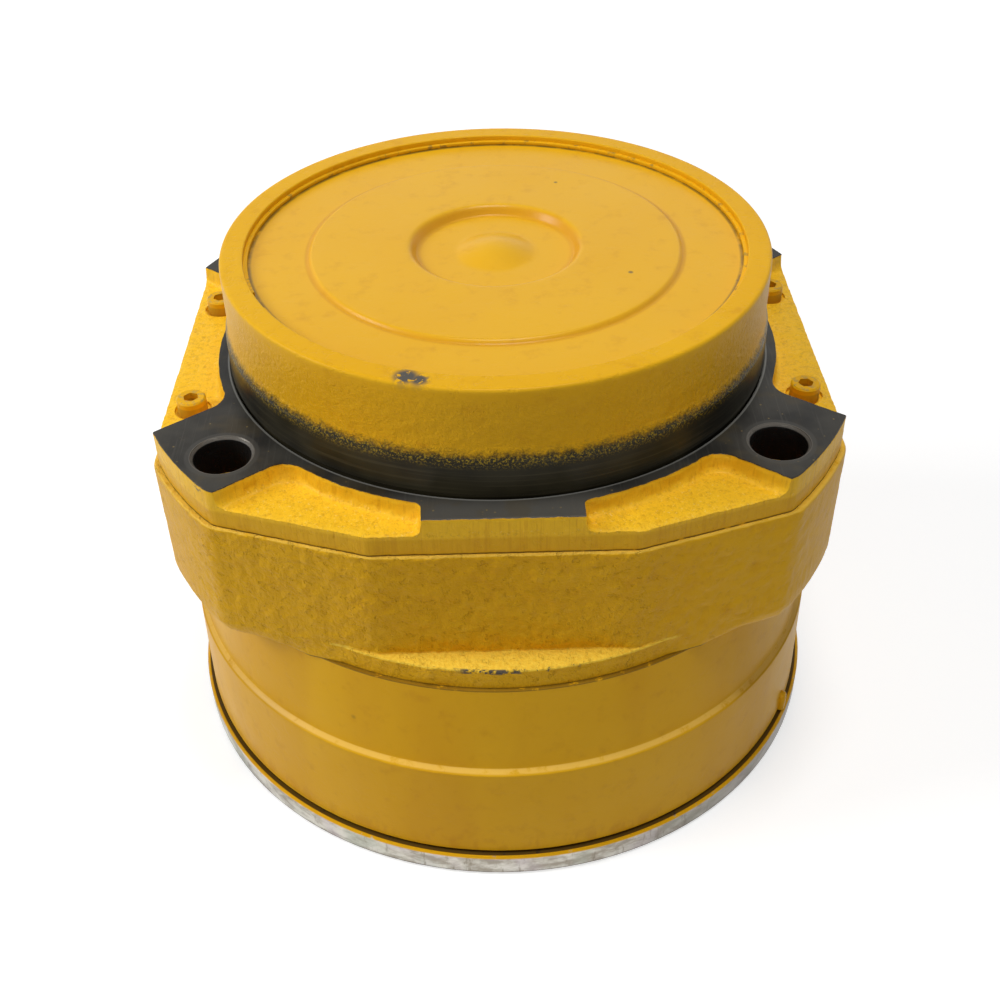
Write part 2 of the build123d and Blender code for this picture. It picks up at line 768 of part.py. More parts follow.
# Pistons drawn back into the block, each with a cradle for its roller
with BuildPart() as pistons:
    for i in range(piston_count):
        with BuildSketch(radial_plane(360 * i / piston_count, piston_inner_r)):
            Circle(piston_r)
        extrude(amount=piston_outer_r - piston_inner_r)
    with BuildSketch(Plane.XY.offset(block_mid_z - piston_r)):
        with PolarLocations(roller_centre_r, piston_count):
            Circle(roller_r + slide_fit)
    extrude(amount=2 * piston_r, mode=Mode.SUBTRACT)
keep(pistons, "pistons")

# Rollers that follow the cam, lying in the pistons' cradles
with BuildPart() as piston_rollers:
    with BuildSketch(Plane.XY.offset(block_mid_z - roller_length / 2)):
        with PolarLocations(roller_centre_r, piston_count):
            Circle(roller_r)
    extrude(amount=roller_length)
keep(piston_rollers, "piston_rollers")

# Two tapered roller bearings, set back to back against the rib of the housing
for place, seat_r, bearing_r, bottom_z, width, count, big_end in (
    ("lower", lower_seat_r, lower_bearing_r, lower_bearing_bottom_z, lower_bearing_width,
     lower_roller_count, -1),
    ("upper", upper_seat_r, upper_bearing_r, upper_bearing_bottom_z, upper_bearing_width,
     upper_roller_count, 1),
):
    raceway_lean = big_end * math.atan((cup_back_thickness - cup_edge_thickness) / width)
    axis_lean = raceway_lean - big_end * math.radians(roller_taper_angle)
    cone_lean = raceway_lean - big_end * math.radians(2 * roller_taper_angle)
    top_z = bottom_z + width
    mid_z = bottom_z + width / 2
    cup_mid_r = bearing_r - (cup_edge_thickness + cup_back_thickness) / 2
    roller_room = (bearing_roller_r + roller_play) / math.cos(axis_lean)
    pitch_r = cup_mid_r - roller_room
    cone_mid_r = cup_mid_r - 2 * roller_room
    half_track = width / 2 - cone_lip
    half_roller = half_track - roller_end_gap
    track_low_r = cone_mid_r - half_track * math.tan(cone_lean)
    track_high_r = cone_mid_r + half_track * math.tan(cone_lean)

    bearing_cup = turned([
        (bearing_r, bottom_z),
        (bearing_r, top_z),
        (cup_mid_r + width / 2 * math.tan(raceway_lean), top_z),
        (cup_mid_r - width / 2 * math.tan(raceway_lean), bottom_z),
    ])
    keep(bearing_cup, f"{place}_bearing_cup")

    bearing_cone = turned([
        (seat_r + seat_gap, bottom_z),
        (track_low_r + cone_lip, bottom_z),
        (track_low_r + cone_lip, bottom_z + cone_lip),
        (track_low_r, bottom_z + cone_lip),
        (track_high_r, top_z - cone_lip),
        (track_high_r + cone_lip, top_z - cone_lip),
        (track_high_r + cone_lip, top_z),
        (seat_r + seat_gap, top_z),
    ])
    keep(bearing_cone, f"{place}_bearing_cone")

    lean_plane = Plane(
        origin=(pitch_r, 0, mid_z),
        x_dir=(math.cos(axis_lean), 0, -math.sin(axis_lean)),
        z_dir=(math.sin(axis_lean), 0, math.cos(axis_lean)),
    )
    taper_step = half_roller * math.tan(math.radians(roller_taper_angle))
    with BuildPart(lean_plane) as one_roller:
        Cone(
            bottom_radius=bearing_roller_r - big_end * taper_step,
            top_radius=bearing_roller_r + big_end * taper_step,
            height=2 * half_roller,
        )
    with BuildPart() as bearing_rollers:
        with PolarLocations(0, count):
            add(one_roller.part)
    keep(bearing_rollers, f"{place}_bearing_rollers")

    across_roller = Plane(origin=lean_plane.origin, x_dir=lean_plane.z_dir, z_dir=lean_plane.x_dir)
    with BuildPart() as one_window:
        with BuildSketch(across_roller):
            Rectangle(2 * (half_roller + cage_window_play), 2 * (bearing_roller_r + cage_window_play))
        extrude(amount=2 * cage_thickness, both=True)
    cage_half = width / 2 - cage_end
    cage_low_r = pitch_r - cage_half * math.tan(axis_lean)
    cage_high_r = pitch_r + cage_half * math.tan(axis_lean)
    with BuildPart() as bearing_cage:
        with BuildSketch(Plane.XZ):
            with BuildLine():
                Polyline(
                    (cage_low_r - cage_thickness / 2, mid_z - cage_half),
                    (cage_low_r + cage_thickness / 2, mid_z - cage_half),
                    (cage_high_r + cage_thickness / 2, mid_z + cage_half),
                    (cage_high_r - cage_thickness / 2, mid_z + cage_half),
                    close=True,
                )
            make_face()
        revolve(axis=Axis.Z)
        with PolarLocations(0, count):
            add(one_window.part, mode=Mode.SUBTRACT)
    keep(bearing_cage, f"{place}_bearing_cage")

# Nut and lock ring that load the bearings
nut_bottom_z = upper_bearing_top_z + lock_ring_height
lock_ring = ring(nut_thread_r + thread_play, lock_ring_r, upper_bearing_top_z, nut_bottom_z)
keep(lock_ring, "lock_ring")
with BuildPart() as bearing_nut:
    with BuildSketch(Plane.XY.offset(nut_bottom_z)):
        Circle(nut_r)
        Circle(nut_thread_r + thread_play, mode=Mode.SUBTRACT)
        with PolarLocations(nut_r, nut_slots):
            Rectangle(2 * nut_slot_depth, nut_slot_width, mode=Mode.SUBTRACT)
    extrude(amount=nut_height)
keep(bearing_nut, "bearing_nut")

# Mechanical face seal: two lapped rings, each pushed by a rubber ring
hub_seal_ring = ring(seal_inner_r, seal_outer_r, seal_floor_z, seal_face_z)
keep(hub_seal_ring, "hub_seal_ring")
housing_seal_ring = ring(seal_inner_r, seal_outer_r, seal_face_z + seal_face_gap,
                         lower_bearing_bottom_z - seal_face_gap)
keep(housing_seal_ring, "housing_seal_ring")
hub_seal_rubber = round_ring(seal_outer_r + toric_r + seat_gap, toric_r, seal_floor_z + toric_r + seat_gap)
keep(hub_seal_rubber, "hub_seal_rubber")
housing_seal_rubber = round_ring(seal_outer_r + toric_r + seat_gap, toric_r,
                                 lower_bearing_bottom_z - toric_r - seat_gap)
keep(housing_seal_rubber, "housing_seal_rubber")

# Flow distributor: a stepped ring whose windows feed the block, two for each cam lobe
distributor_section = [
    (distributor_bore_r, block_top_z + slide_fit),
    (distributor_face_r, block_top_z + slide_fit),
    (distributor_face_r, distributor_step_1_z - distributor_top_gap),
    (distributor_mid_r, distributor_step_1_z - distributor_top_gap),
    (distributor_mid_r, distributor_step_2_z - distributor_top_gap),
    (distributor_top_r, distributor_step_2_z - distributor_top_gap),
    (distributor_top_r, casting_top_z - distributor_spring_height),
    (distributor_bore_r, casting_top_z - distributor_spring_height),
]
distributor_grooves = (
    (distributor_face_r, cam_top_z + distributor_land),
    (distributor_mid_r, distributor_step_1_z + distributor_land),
    (distributor_top_r, distributor_step_2_z + distributor_land),
)
with BuildPart() as flow_distributor:
    with BuildSketch(Plane.XZ):
        with BuildLine():
            Polyline(*distributor_section, close=True)
        make_face()
    revolve(axis=Axis.Z)
    for radius, bottom_z in distributor_grooves:
        with BuildSketch(Plane.XY.offset(bottom_z)):
            Circle(radius)
            Circle(radius - distributor_groove_depth, mode=Mode.SUBTRACT)
        extrude(amount=distributor_groove_height, mode=Mode.SUBTRACT)
    for radius, middle_z in ((distributor_face_r, gallery_a_z), (distributor_mid_r, gallery_b_z)):
        with BuildSketch(Plane.XY.offset(middle_z)):
            Circle(radius)
            Circle(radius - distributor_oil_depth, mode=Mode.SUBTRACT)
        extrude(amount=distributor_groove_height / 2, both=True, mode=Mode.SUBTRACT)
    with BuildSketch(Plane.XY.offset(block_top_z)):
        with PolarLocations(feed_circle_r - distributor_window_r, 2 * cam_lobes):
            Circle(distributor_window_r)
    extrude(amount=distributor_window_depth, mode=Mode.SUBTRACT)
keep(flow_distributor, "flow_distributor")

# Sealing rings in the distributor's grooves
with BuildPart() as distributor_seals:
    for radius, bottom_z in distributor_grooves:
        with BuildSketch(Plane.XY.offset(bottom_z + seat_gap)):
            Circle(radius - seat_gap)
            Circle(radius - distributor_groove_depth + seat_gap, mode=Mode.SUBTRACT)
        extrude(amount=distributor_groove_height - 2 * seat_gap)
keep(distributor_seals, "distributor_seals")

# Wave spring that holds the distributor against the block
distributor_spring = ring(distributor_top_r - distributor_spring_width, distributor_top_r,
                          casting_top_z - distributor_spring_height, casting_top_z)
keep(distributor_spring, "distributor_spring")

# Brake housing, the round cap on top, with its clamped foot and its bore stepped for the piston
brake_housing_section = [
    (web_bore_r, casting_top_z),
    (foot_r, casting_top_z),
    (foot_r, casting_top_z + foot_height),
    (neck_r, casting_top_z + foot_height),
    (neck_r, plate_top_z + pilot_relief_height),
    (pilot_r, plate_top_z + pilot_relief_height),
    (pilot_r, pilot_top_z),
    (cap_r, pilot_top_z + cap_shoulder),
    (cap_r, cap_top_z),
    (rim_inner_r, cap_top_z),
    (rim_inner_r, cover_seat_z),
    (cover_seat_r, cover_seat_z),
    (cover_seat_r, stop_ring_z + stop_ring_height),
    (piston_large_r + slide_fit, stop_ring_z + stop_ring_height),
    (piston_large_r + slide_fit, piston_step_z - release_gap),
    (piston_small_r + slide_fit, piston_step_z - release_gap),
    (piston_small_r + slide_fit, piston_bottom_z - disc_cavity_top),
    (disc_cavity_r, piston_bottom_z - disc_cavity_top),
    (disc_cavity_r, web_top_z),
    (web_bore_r, web_top_z),
]
with BuildPart() as brake_housing:
    with BuildSketch(Plane.XZ):
        with BuildLine():
            Polyline(*brake_housing_section, close=True)
        make_face()
    revolve(axis=Axis.Z)
    cap_rim = brake_housing.edges().filter_by(GeomType.CIRCLE).group_by(Axis.Z)[-1].sort_by(
        lambda edge: edge.radius)
    fillet(cap_rim[-1], cap_edge_r)
    with BuildSketch(Plane.XY.offset(web_top_z)):
        with PolarLocations((disc_cavity_r + disc_tab_r) / 2, disc_tab_count):
            Rectangle(disc_tab_r - disc_cavity_r + 2 * disc_tab_play, disc_tab_width + 2 * disc_tab_play)
    extrude(amount=piston_bottom_z - disc_cavity_top - web_top_z, mode=Mode.SUBTRACT)
    with BuildSketch(Plane.XY.offset(casting_top_z)):
        Circle(brake_o_ring_r + o_ring_groove_width / 2)
        Circle(brake_o_ring_r - o_ring_groove_width / 2, mode=Mode.SUBTRACT)
    extrude(amount=2 * o_ring_r, mode=Mode.SUBTRACT)
    for radius, bottom_z, height in (
        (piston_large_r + stop_ring_bite, stop_ring_z, stop_ring_height),
        (rim_inner_r + retaining_ring_bite, cover_top_z, retaining_ring_height),
    ):
        with BuildSketch(Plane.XY.offset(bottom_z)):
            Circle(radius)
            Circle(piston_small_r, mode=Mode.SUBTRACT)
        extrude(amount=height, mode=Mode.SUBTRACT)
keep(brake_housing, "brake_housing")

# Shaft from the hub's spline up to the brake, with a toothed hub for the friction discs
with BuildPart() as brake_shaft:
    with BuildSketch(Plane.XY.offset(block_top_z - brake_spline_depth)):
        add(toothed(brake_spline_r, brake_spline_r + brake_spline_tooth_height,
                    brake_spline_teeth, brake_spline_tooth_width))
    extrude(amount=brake_spline_depth)
    with BuildSketch(Plane.XY.offset(block_top_z)):
        Circle(brake_shaft_r)
    extrude(amount=web_top_z + disc_gap - block_top_z)
    with BuildSketch(Plane.XY.offset(web_top_z + disc_gap)):
        add(toothed(brake_hub_r, brake_hub_tip_r, brake_hub_teeth, brake_hub_tooth_width))
    extrude(amount=disc_stack - 3 * brake_hub_end_gap)
keep(brake_shaft, "brake_shaft")

# Brake discs: steel ones held by their tabs, and lined ones between them that turn with the shaft
steel_pitch = steel_disc_thickness + friction_disc_thickness + 2 * disc_gap
with BuildPart() as steel_discs:
    for i in range(steel_disc_count):
        with BuildSketch(Plane.XY.offset(web_top_z + disc_gap + i * steel_pitch)):
            Circle(disc_cavity_r - disc_tab_play)
            with PolarLocations((disc_cavity_r + disc_tab_r) / 2 - disc_tab_play, disc_tab_count):
                Rectangle(disc_tab_r - disc_cavity_r + disc_tab_play, disc_tab_width)
            Circle(steel_disc_inner_r, mode=Mode.SUBTRACT)
        extrude(amount=steel_disc_thickness)
keep(steel_discs, "steel_discs")
with BuildPart() as friction_discs:
    for i in range(steel_disc_count - 1):
        with BuildSketch(Plane.XY.offset(web_top_z + 2 * disc_gap + steel_disc_thickness + i * steel_pitch)):
            Circle(friction_disc_outer_r)
            add(grown_teeth(brake_hub_r, brake_hub_tip_r, brake_hub_teeth, brake_hub_tooth_width,
                            disc_spline_play), mode=Mode.SUBTRACT)
        extrude(amount=friction_disc_thickness)
keep(friction_discs, "friction_discs")

# Brake piston, pressed down on the discs by its spring and lifted by oil under its step
piston_section = [
    (piston_bore_r, piston_bottom_z),
    (piston_small_r, piston_bottom_z),
    (piston_small_r, piston_step_z),
    (piston_large_r, piston_step_z),
    (piston_large_r, piston_top_z),
    (piston_large_r - piston_rim, piston_top_z),
    (piston_bore_r, piston_top_z),
]
piston_grooves = (
    (piston_small_r, piston_step_z - release_gap - 2 * piston_seal_width),
    (piston_large_r, piston_step_z + piston_seal_width),
)
with BuildPart() as brake_piston:
    with BuildSketch(Plane.XZ):
        with BuildLine():
            Polyline(*piston_section, close=True)
        make_face()
    revolve(axis=Axis.Z)
    for radius, bottom_z in piston_grooves:
        with BuildSketch(Plane.XY.offset(bottom_z)):
            Circle(radius)
            Circle(radius - piston_seal_depth, mode=Mode.SUBTRACT)
        extrude(amount=piston_seal_width, mode=Mode.SUBTRACT)
keep(brake_piston, "brake_piston")
with BuildPart() as piston_seals:
    for radius, bottom_z in piston_grooves:
        with BuildSketch(Plane.XY.offset(bottom_z + seat_gap)):
            Circle(radius)
            Circle(radius - piston_seal_depth + seat_gap, mode=Mode.SUBTRACT)
        extrude(amount=piston_seal_width - 2 * seat_gap)
keep(piston_seals, "piston_seals")

# Dished spring of the brake, standing on the piston's outer edge under the stop ring
brake_spring = turned([
    (spring_outer_r, spring_top_z),
    (spring_outer_r, spring_top_z - spring_thickness),
    (spring_inner_r, piston_top_z),
    (spring_inner_r, piston_top_z + spring_thickness),
])
keep(brake_spring, "brake_spring")

# Split stop ring over the spring, and the split ring that retains the cover
for name, inner_r, outer_r, bottom_z, height in (
    ("spring_stop_ring", stop_ring_inner_r, piston_large_r + stop_ring_bite - seat_gap,
     stop_ring_z, stop_ring_height),
    ("cover_retaining_ring", retaining_ring_inner_r, rim_inner_r + retaining_ring_bite - seat_gap,
     cover_top_z, retaining_ring_height),
):
    with BuildPart() as split_ring:
        with BuildSketch(Plane.XY.offset(bottom_z)):
            Circle(outer_r)
            Circle(inner_r, mode=Mode.SUBTRACT)
            with PolarLocations(inner_r, 1, start_angle=ring_gap_place):
                Rectangle(outer_r - inner_r + outer_r - inner_r, ring_gap_width, mode=Mode.SUBTRACT)
        extrude(amount=height)
    keep(split_ring, name)

# Pressed cover with a raised plateau, a round recess and a low dome in it
plateau_z = cover_top_z + plateau_rise
recess_z = plateau_z - recess_depth
dome_curve_r = (dome_r ** 2 + dome_height ** 2) / (2 * dome_height)
with BuildPart() as pressed_cover:
    with BuildSketch(Plane.XZ):
        with BuildLine():
            Polyline(
                (rim_inner_r - seat_gap, cover_seat_z),
                (rim_inner_r - seat_gap, cover_top_z),
                (plateau_r, cover_top_z),
                (plateau_r - plateau_run, plateau_z),
                (recess_r, plateau_z),
                (recess_r - recess_run, recess_z),
                (dome_r, recess_z),
            )
            RadiusArc((dome_r, recess_z), (0, recess_z + dome_height), -dome_curve_r)
            Polyline(
                (0, recess_z + dome_height),
                (0, recess_z - cover_thickness),
                (recess_r - recess_run + cover_bend, recess_z - cover_thickness),
                (recess_r + cover_bend, plateau_z - cover_thickness),
                (plateau_r - plateau_run - cover_bend, plateau_z - cover_thickness),
                (plateau_r - cover_bend, cover_seat_z),
                (rim_inner_r - seat_gap, cover_seat_z),
            )
        make_face()
    revolve(axis=Axis.Z)
keep(pressed_cover, "pressed_cover")

# Rubber rings between the fixed pieces
housing_o_ring = round_ring(housing_o_ring_r, o_ring_r - seat_gap, housing_top_z - o_ring_r)
keep(housing_o_ring, "housing_o_ring")
brake_o_ring = round_ring(brake_o_ring_r, o_ring_r - seat_gap, casting_top_z + o_ring_r)
keep(brake_o_ring, "brake_o_ring")
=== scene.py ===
# %% [markdown]
# # A hydraulic drive motor, dressed in Blender
# The object is a heavy steel motor: a turning hub at the foot, a yellow drum over it, a cast block with four
# ears above that, and a yellow cap with a pressed cover on top. The CAD model already holds its sizes and its
# inside. This lesson makes the surfaces that show: castings that look cast, machined lands that look machined,
# and worn yellow enamel. Lengths are written in millimetres, as on a drawing, and divided by 1000 once.

# %% The frame from the CAD model
import bmesh
import bpy
import json
import numpy as np
from math import atan2, ceil, copysign, cos, degrees, dist, exp, hypot, pi, radians, sin, sqrt, tan
from mathutils import Matrix, Vector, noise

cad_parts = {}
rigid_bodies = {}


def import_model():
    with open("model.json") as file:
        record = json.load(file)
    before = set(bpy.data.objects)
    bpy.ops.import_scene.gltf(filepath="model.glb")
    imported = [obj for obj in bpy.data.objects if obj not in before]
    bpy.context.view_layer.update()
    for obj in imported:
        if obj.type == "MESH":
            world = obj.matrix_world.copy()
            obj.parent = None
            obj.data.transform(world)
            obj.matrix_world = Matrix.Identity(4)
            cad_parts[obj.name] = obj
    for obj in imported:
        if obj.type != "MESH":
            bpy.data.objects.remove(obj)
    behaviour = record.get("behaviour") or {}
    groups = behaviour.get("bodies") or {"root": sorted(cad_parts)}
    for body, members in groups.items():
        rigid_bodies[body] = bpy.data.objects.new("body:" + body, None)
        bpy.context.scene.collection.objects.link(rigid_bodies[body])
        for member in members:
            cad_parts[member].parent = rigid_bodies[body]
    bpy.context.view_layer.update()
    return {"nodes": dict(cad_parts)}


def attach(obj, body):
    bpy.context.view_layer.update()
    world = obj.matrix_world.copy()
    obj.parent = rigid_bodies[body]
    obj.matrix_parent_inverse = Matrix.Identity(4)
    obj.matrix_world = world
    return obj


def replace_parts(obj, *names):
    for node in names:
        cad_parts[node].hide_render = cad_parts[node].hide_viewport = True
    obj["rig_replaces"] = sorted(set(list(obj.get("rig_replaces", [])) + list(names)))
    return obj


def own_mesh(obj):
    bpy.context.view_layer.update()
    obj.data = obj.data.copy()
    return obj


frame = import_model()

# %% [markdown]
# ## The camera
# A photograph fixes where the camera stood: the ellipses of the round parts give the angle from above, and the
# way they shrink from top to bottom gives the distance. The camera comes first, so that every later render can
# be laid over the photograph.

# %% Camera from angle, distance and roll
VIEW_AZIMUTH = radians(-0.51)
VIEW_ELEVATION = radians(38.68)
VIEW_ROLL = radians(-1.07)
VIEW_DISTANCE = 0.6674
VIEW_TARGET = Vector((0, 0, 0.09225))

back_way = Vector((
    sin(VIEW_AZIMUTH) * cos(VIEW_ELEVATION),
    -cos(VIEW_AZIMUTH) * cos(VIEW_ELEVATION),
    sin(VIEW_ELEVATION),
))
level_right = (-back_way).cross(Vector((0, 0, 1))).normalized()
level_up = level_right.cross(-back_way)
right_way = level_right * cos(VIEW_ROLL) + level_up * sin(VIEW_ROLL)
up_way = level_up * cos(VIEW_ROLL) - level_right * sin(VIEW_ROLL)
camera_data = bpy.data.cameras.new("camera")
camera_data.sensor_width = 36
camera_data.lens = 46.8
camera = bpy.data.objects.new("camera", camera_data)
bpy.context.collection.objects.link(camera)
turn = Matrix((right_way, up_way, back_way)).transposed().to_4x4()
camera.matrix_world = Matrix.Translation(VIEW_TARGET + back_way * VIEW_DISTANCE) @ turn
bpy.context.scene.camera = camera
bpy.context.scene.view_settings.view_transform = "Standard"
print("camera at", [round(value, 3) for value in camera.matrix_world.translation])

# %% [markdown]
# ## Writing shader maths as plain expressions
# A node tree soon becomes a plate of spaghetti. A small class that wraps one socket and overloads + - * lets a
# mask be written as it is thought: `inside * (1 - worn)`. Each expression still adds ordinary Math nodes, so the
# result can be opened and studied in the shader editor.

# %% One helper for nodes of any tree
def add_node(tree, kind, settings, sockets):
    """Adds a node: first its settings, then the values or links of its sockets, by name or in their order."""
    made = tree.nodes.new(kind)
    for key, value in settings.items():
        setattr(made, key, value)
    for key, value in (sockets.items() if isinstance(sockets, dict) else enumerate(sockets)):
        if isinstance(value, bpy.types.NodeSocket):
            tree.links.new(value, made.inputs[key])
        else:
            made.inputs[key].default_value = value
    return made


# %% The Field class and the Finish class
class Field:
    """One shader socket that can be added to, multiplied and compared like a number."""

    def __init__(self, finish, socket):
        self.finish = finish
        self.socket = socket

    def math(self, operation, *others):
        return self.finish.node("ShaderNodeMath", {"operation": operation}, [self, *others])

    def __add__(self, other):
        return self.math("ADD", other)

    def __sub__(self, other):
        return self.math("SUBTRACT", other)

    def __rsub__(self, other):
        return self.finish.node("ShaderNodeMath", {"operation": "SUBTRACT"}, [other, self])

    def __mul__(self, other):
        return self.math("MULTIPLY", other)

    __radd__, __rmul__ = __add__, __mul__

    def step(self, low, high, at_low, at_high):
        return self.finish.node("ShaderNodeMapRange", {"interpolation_type": "SMOOTHSTEP"},
                                [self, low, high, at_low, at_high])

    def above(self, edge, soft):
        """1 where this is over the edge, 0 under it, with a soft step between."""
        return self.step(edge - soft, edge + soft, 0.0, 1.0)

    def below(self, edge, soft):
        return self.step(edge - soft, edge + soft, 1.0, 0.0)

    def band(self, low, high, soft):
        return self.above(low, soft) * self.below(high, soft)


class Finish:
    """A material in the making. Lengths in it are millimetres on Object coordinates."""

    def __init__(self, name):
        self.material = bpy.data.materials.new(name)
        self.material.use_nodes = True
        self.tree = self.material.node_tree
        self.tree.nodes.clear()
        self.colour = None
        place = self.node("ShaderNodeTexCoord", {}, [], "Object")
        self.place = self.vector("SCALE", {"Vector": place, "Scale": 1000.0})
        self.x, self.y, self.z = (self.node("ShaderNodeSeparateXYZ", {}, [self.place], axis) for axis in range(3))
        self.flat = self.vector("MULTIPLY", [self.place, (1.0, 1.0, 0.0)])
        self.radius = self.vector("LENGTH", [self.flat], "Value")

    def node(self, kind, settings, sockets, wanted=0):
        """Adds any node to this finish, and gives one of its outputs as a Field."""
        items = sockets.items() if isinstance(sockets, dict) else enumerate(sockets)
        plain = {key: value.socket if isinstance(value, Field) else value for key, value in items}
        made = add_node(self.tree, kind, settings, plain)
        return Field(self, made.outputs[wanted]) if made.outputs else made

    def vector(self, operation, sockets, wanted=0):
        return self.node("ShaderNodeVectorMath", {"operation": operation}, sockets, wanted)

    def mapped(self, shift, scale=(1, 1, 1), turn=(0, 0, 0)):
        """The place on the object in millimetres, moved, turned and scaled."""
        return self.node("ShaderNodeMapping", {}, {
            "Vector": self.place, "Location": shift, "Rotation": turn, "Scale": scale})

    def noise(self, size, detail, roughness, stretch=(1, 1, 1), shift=(0, 0, 0)):
        """Cloudy noise from 0 to 1 whose clouds are about size millimetres across."""
        place = self.mapped(shift, tuple(axis / size for axis in stretch))
        return self.node("ShaderNodeTexNoise", {}, {
            "Vector": place, "Scale": 1.0, "Detail": detail, "Roughness": roughness})

    def specks(self, size, share, shift):
        """Small separate specks: the middles of Voronoi cells whose random colour passes a test."""
        place = self.mapped(shift, (1 / size, 1 / size, 1 / size))
        cells = add_node(self.tree, "ShaderNodeTexVoronoi", {}, {"Vector": place.socket, "Scale": 1.0})
        near = Field(self, cells.outputs["Distance"])
        pick = self.node("ShaderNodeSeparateColor", {}, [cells.outputs["Color"]])
        return near.below(0.28, 0.1) * pick.below(share, 0.03)

    def spot(self, centre, size, soft):
        """1 inside a ball of that radius round a point of the object."""
        return self.vector("DISTANCE", [self.place, centre], "Value").below(size, soft)

    def blend(self, under, over, share):
        """Colour under with colour over laid on it, by a share from 0 to 1."""
        under, over = (value if isinstance(value, Field) else (*value, 1.0) for value in (under, over))
        return self.node("ShaderNodeMix", {"data_type": "RGBA"}, {0: share, 6: under, 7: over}, 2)

    def lay(self, over, share):
        """Lays one more colour on the finish."""
        self.colour = self.blend(self.colour, over, share)

    def number(self, under, over, share):
        """A number that goes from under to over by a share."""
        return self.node("ShaderNodeMix", {"data_type": "FLOAT"}, {0: share, 2: under, 3: over})

    def surface(self, roughness, metallic, bump, height, coat=0.0, coat_roughness=0.2, gloss=0.10):
        """Ends the finish and gives its material. Where bump is 1, it looks raised by height in millimetres."""
        normal = self.node("ShaderNodeBump", {}, {"Height": bump, "Distance": height / 1000, "Strength": 1.0})
        shader = self.node("ShaderNodeBsdfPrincipled", {}, {
            "Base Color": self.colour, "Roughness": roughness, "Metallic": metallic, "Normal": normal,
            "Coat Weight": coat, "Coat Roughness": coat_roughness, "Specular IOR Level": gloss})
        self.node("ShaderNodeOutputMaterial", {}, [shader])
        print("finish", self.material.name, "nodes:", len(self.tree.nodes))
        return self.material


# %% [markdown]
# ## Yellow enamel, and what wears through it
# Machine enamel is brushed or sprayed straight on cast iron. Seen close it isn't one colour, and it has tiny
# craters over the casting's grain. Two slow noises change its tone, a fine one makes its skin, and chips show dark
# bare iron. The darker enamel in the cover's hollows is painted shade.

# %% Yellow enamel as a reusable recipe
ENAMEL = (0.775, 0.405, 0.006)
ENAMEL_PALE = (0.83, 0.465, 0.014)
ENAMEL_DEEP = (0.62, 0.275, 0.006)
BARE_IRON = (0.085, 0.078, 0.068)
GRIME = (0.10, 0.065, 0.02)


def enamel(name, grime_share):
    """A new finish with worn yellow enamel as its colour."""
    finish = Finish(name)
    slow = finish.noise(70, 2, 0.5)
    patchy = finish.noise(9, 4, 0.6, shift=(3, 8, 1))
    finish.colour = finish.blend(ENAMEL, ENAMEL_PALE, slow.above(0.5, 0.22) * 0.45)
    finish.lay(ENAMEL_DEEP, patchy.above(0.66, 0.14) * 0.45)
    finish.lay(GRIME, finish.noise(3.2, 5, 0.7, shift=(9, 2, 5)).above(0.735, 0.05) * grime_share)
    return finish


def enamel_skin(finish, coarse=1.0):
    """Orange peel, with the small craters of cast iron where a finer noise is low."""
    peel = finish.noise(2.6, 2, 0.5)
    craters = finish.noise(4.5, 4, 0.65, shift=(5, 5, 5)).below(0.40, 0.06)
    return peel * 0.35 * coarse - craters * 0.35 * coarse


# %% [markdown]
# ## Turned pieces
# Cap, drum, cover and hub rim were all turned on a lathe, so in Blender each is one section swept round the axis.
# The section's long runs are cut into short ones first: that gives the mesh enough points for dents and cast
# lumps to be pressed into real geometry afterwards.

# %% A lathe in mesh code
def dense(points, step, closed=True):
    """The section's corners with more points between them, none further apart than step."""
    out = []
    pairs = list(zip(points, points[1:] + points[:1])) if closed else list(zip(points, points[1:]))
    for (r0, z0), (r1, z1) in pairs:
        parts = max(1, ceil(hypot(r1 - r0, z1 - z0) / step))
        out += [(r0 + (r1 - r0) * i / parts, z0 + (z1 - z0) * i / parts) for i in range(parts)]
    return out if closed else out + [points[-1]]


def unit(angle):
    return np.array((cos(angle), sin(angle)))


def rounded(corner, way_in, way_out, size, parts):
    """Points of a round edge at a corner of a section, between two straight runs."""
    into, away = np.array(way_in, float), np.array(way_out, float)
    start, middle, end = corner - size * into, np.array(corner, float), corner + size * away
    steps = np.linspace(0, 1, parts + 1)[:, None]
    curve = (1 - steps) ** 2 * start + 2 * steps * (1 - steps) * middle + steps ** 2 * end
    return [tuple(point) for point in curve]


def soften(points, sizes, parts=5):
    """A section whose corners are rounded, each by its own size in millimetres."""
    out = []
    count = len(points)
    for i, (corner, size) in enumerate(zip(points, sizes)):
        if size <= 0:
            out.append(corner)
            continue
        before = np.subtract(corner, points[i - 1])
        after = np.subtract(points[(i + 1) % count], corner)
        out += rounded(np.array(corner, float), before / np.hypot(*before), after / np.hypot(*after), size, parts)
    return out


def ring_faces(rows, segments, closed=True, first=0):
    """Faces between rows of points that go all the way round. A closed sheet joins its last row to its first."""
    faces = []
    for row in range(rows if closed else rows - 1):
        here, over = first + row * segments, first + ((row + 1) % rows) * segments
        faces += [(here + i, here + (i + 1) % segments, over + (i + 1) % segments, over + i)
                  for i in range(segments)]
    return faces


def circle(r, z, angles):
    return [(r * cos(a), r * sin(a), z) for a in angles]


def lathe(section, segments, closed=True):
    """Vertices (mm) and faces of a section swept round Z. A closed section gives a ring."""
    angles = np.arange(segments) * 2 * pi / segments
    return [vert for r, z in section for vert in circle(r, z, angles)], ring_faces(len(section), segments, closed)


def in_millimetres(data):
    """The vertices and faces of a finished mesh."""
    verts = [tuple(1000 * value for value in vertex.co) for vertex in data.vertices]
    return verts, [tuple(polygon.vertices) for polygon in data.polygons]


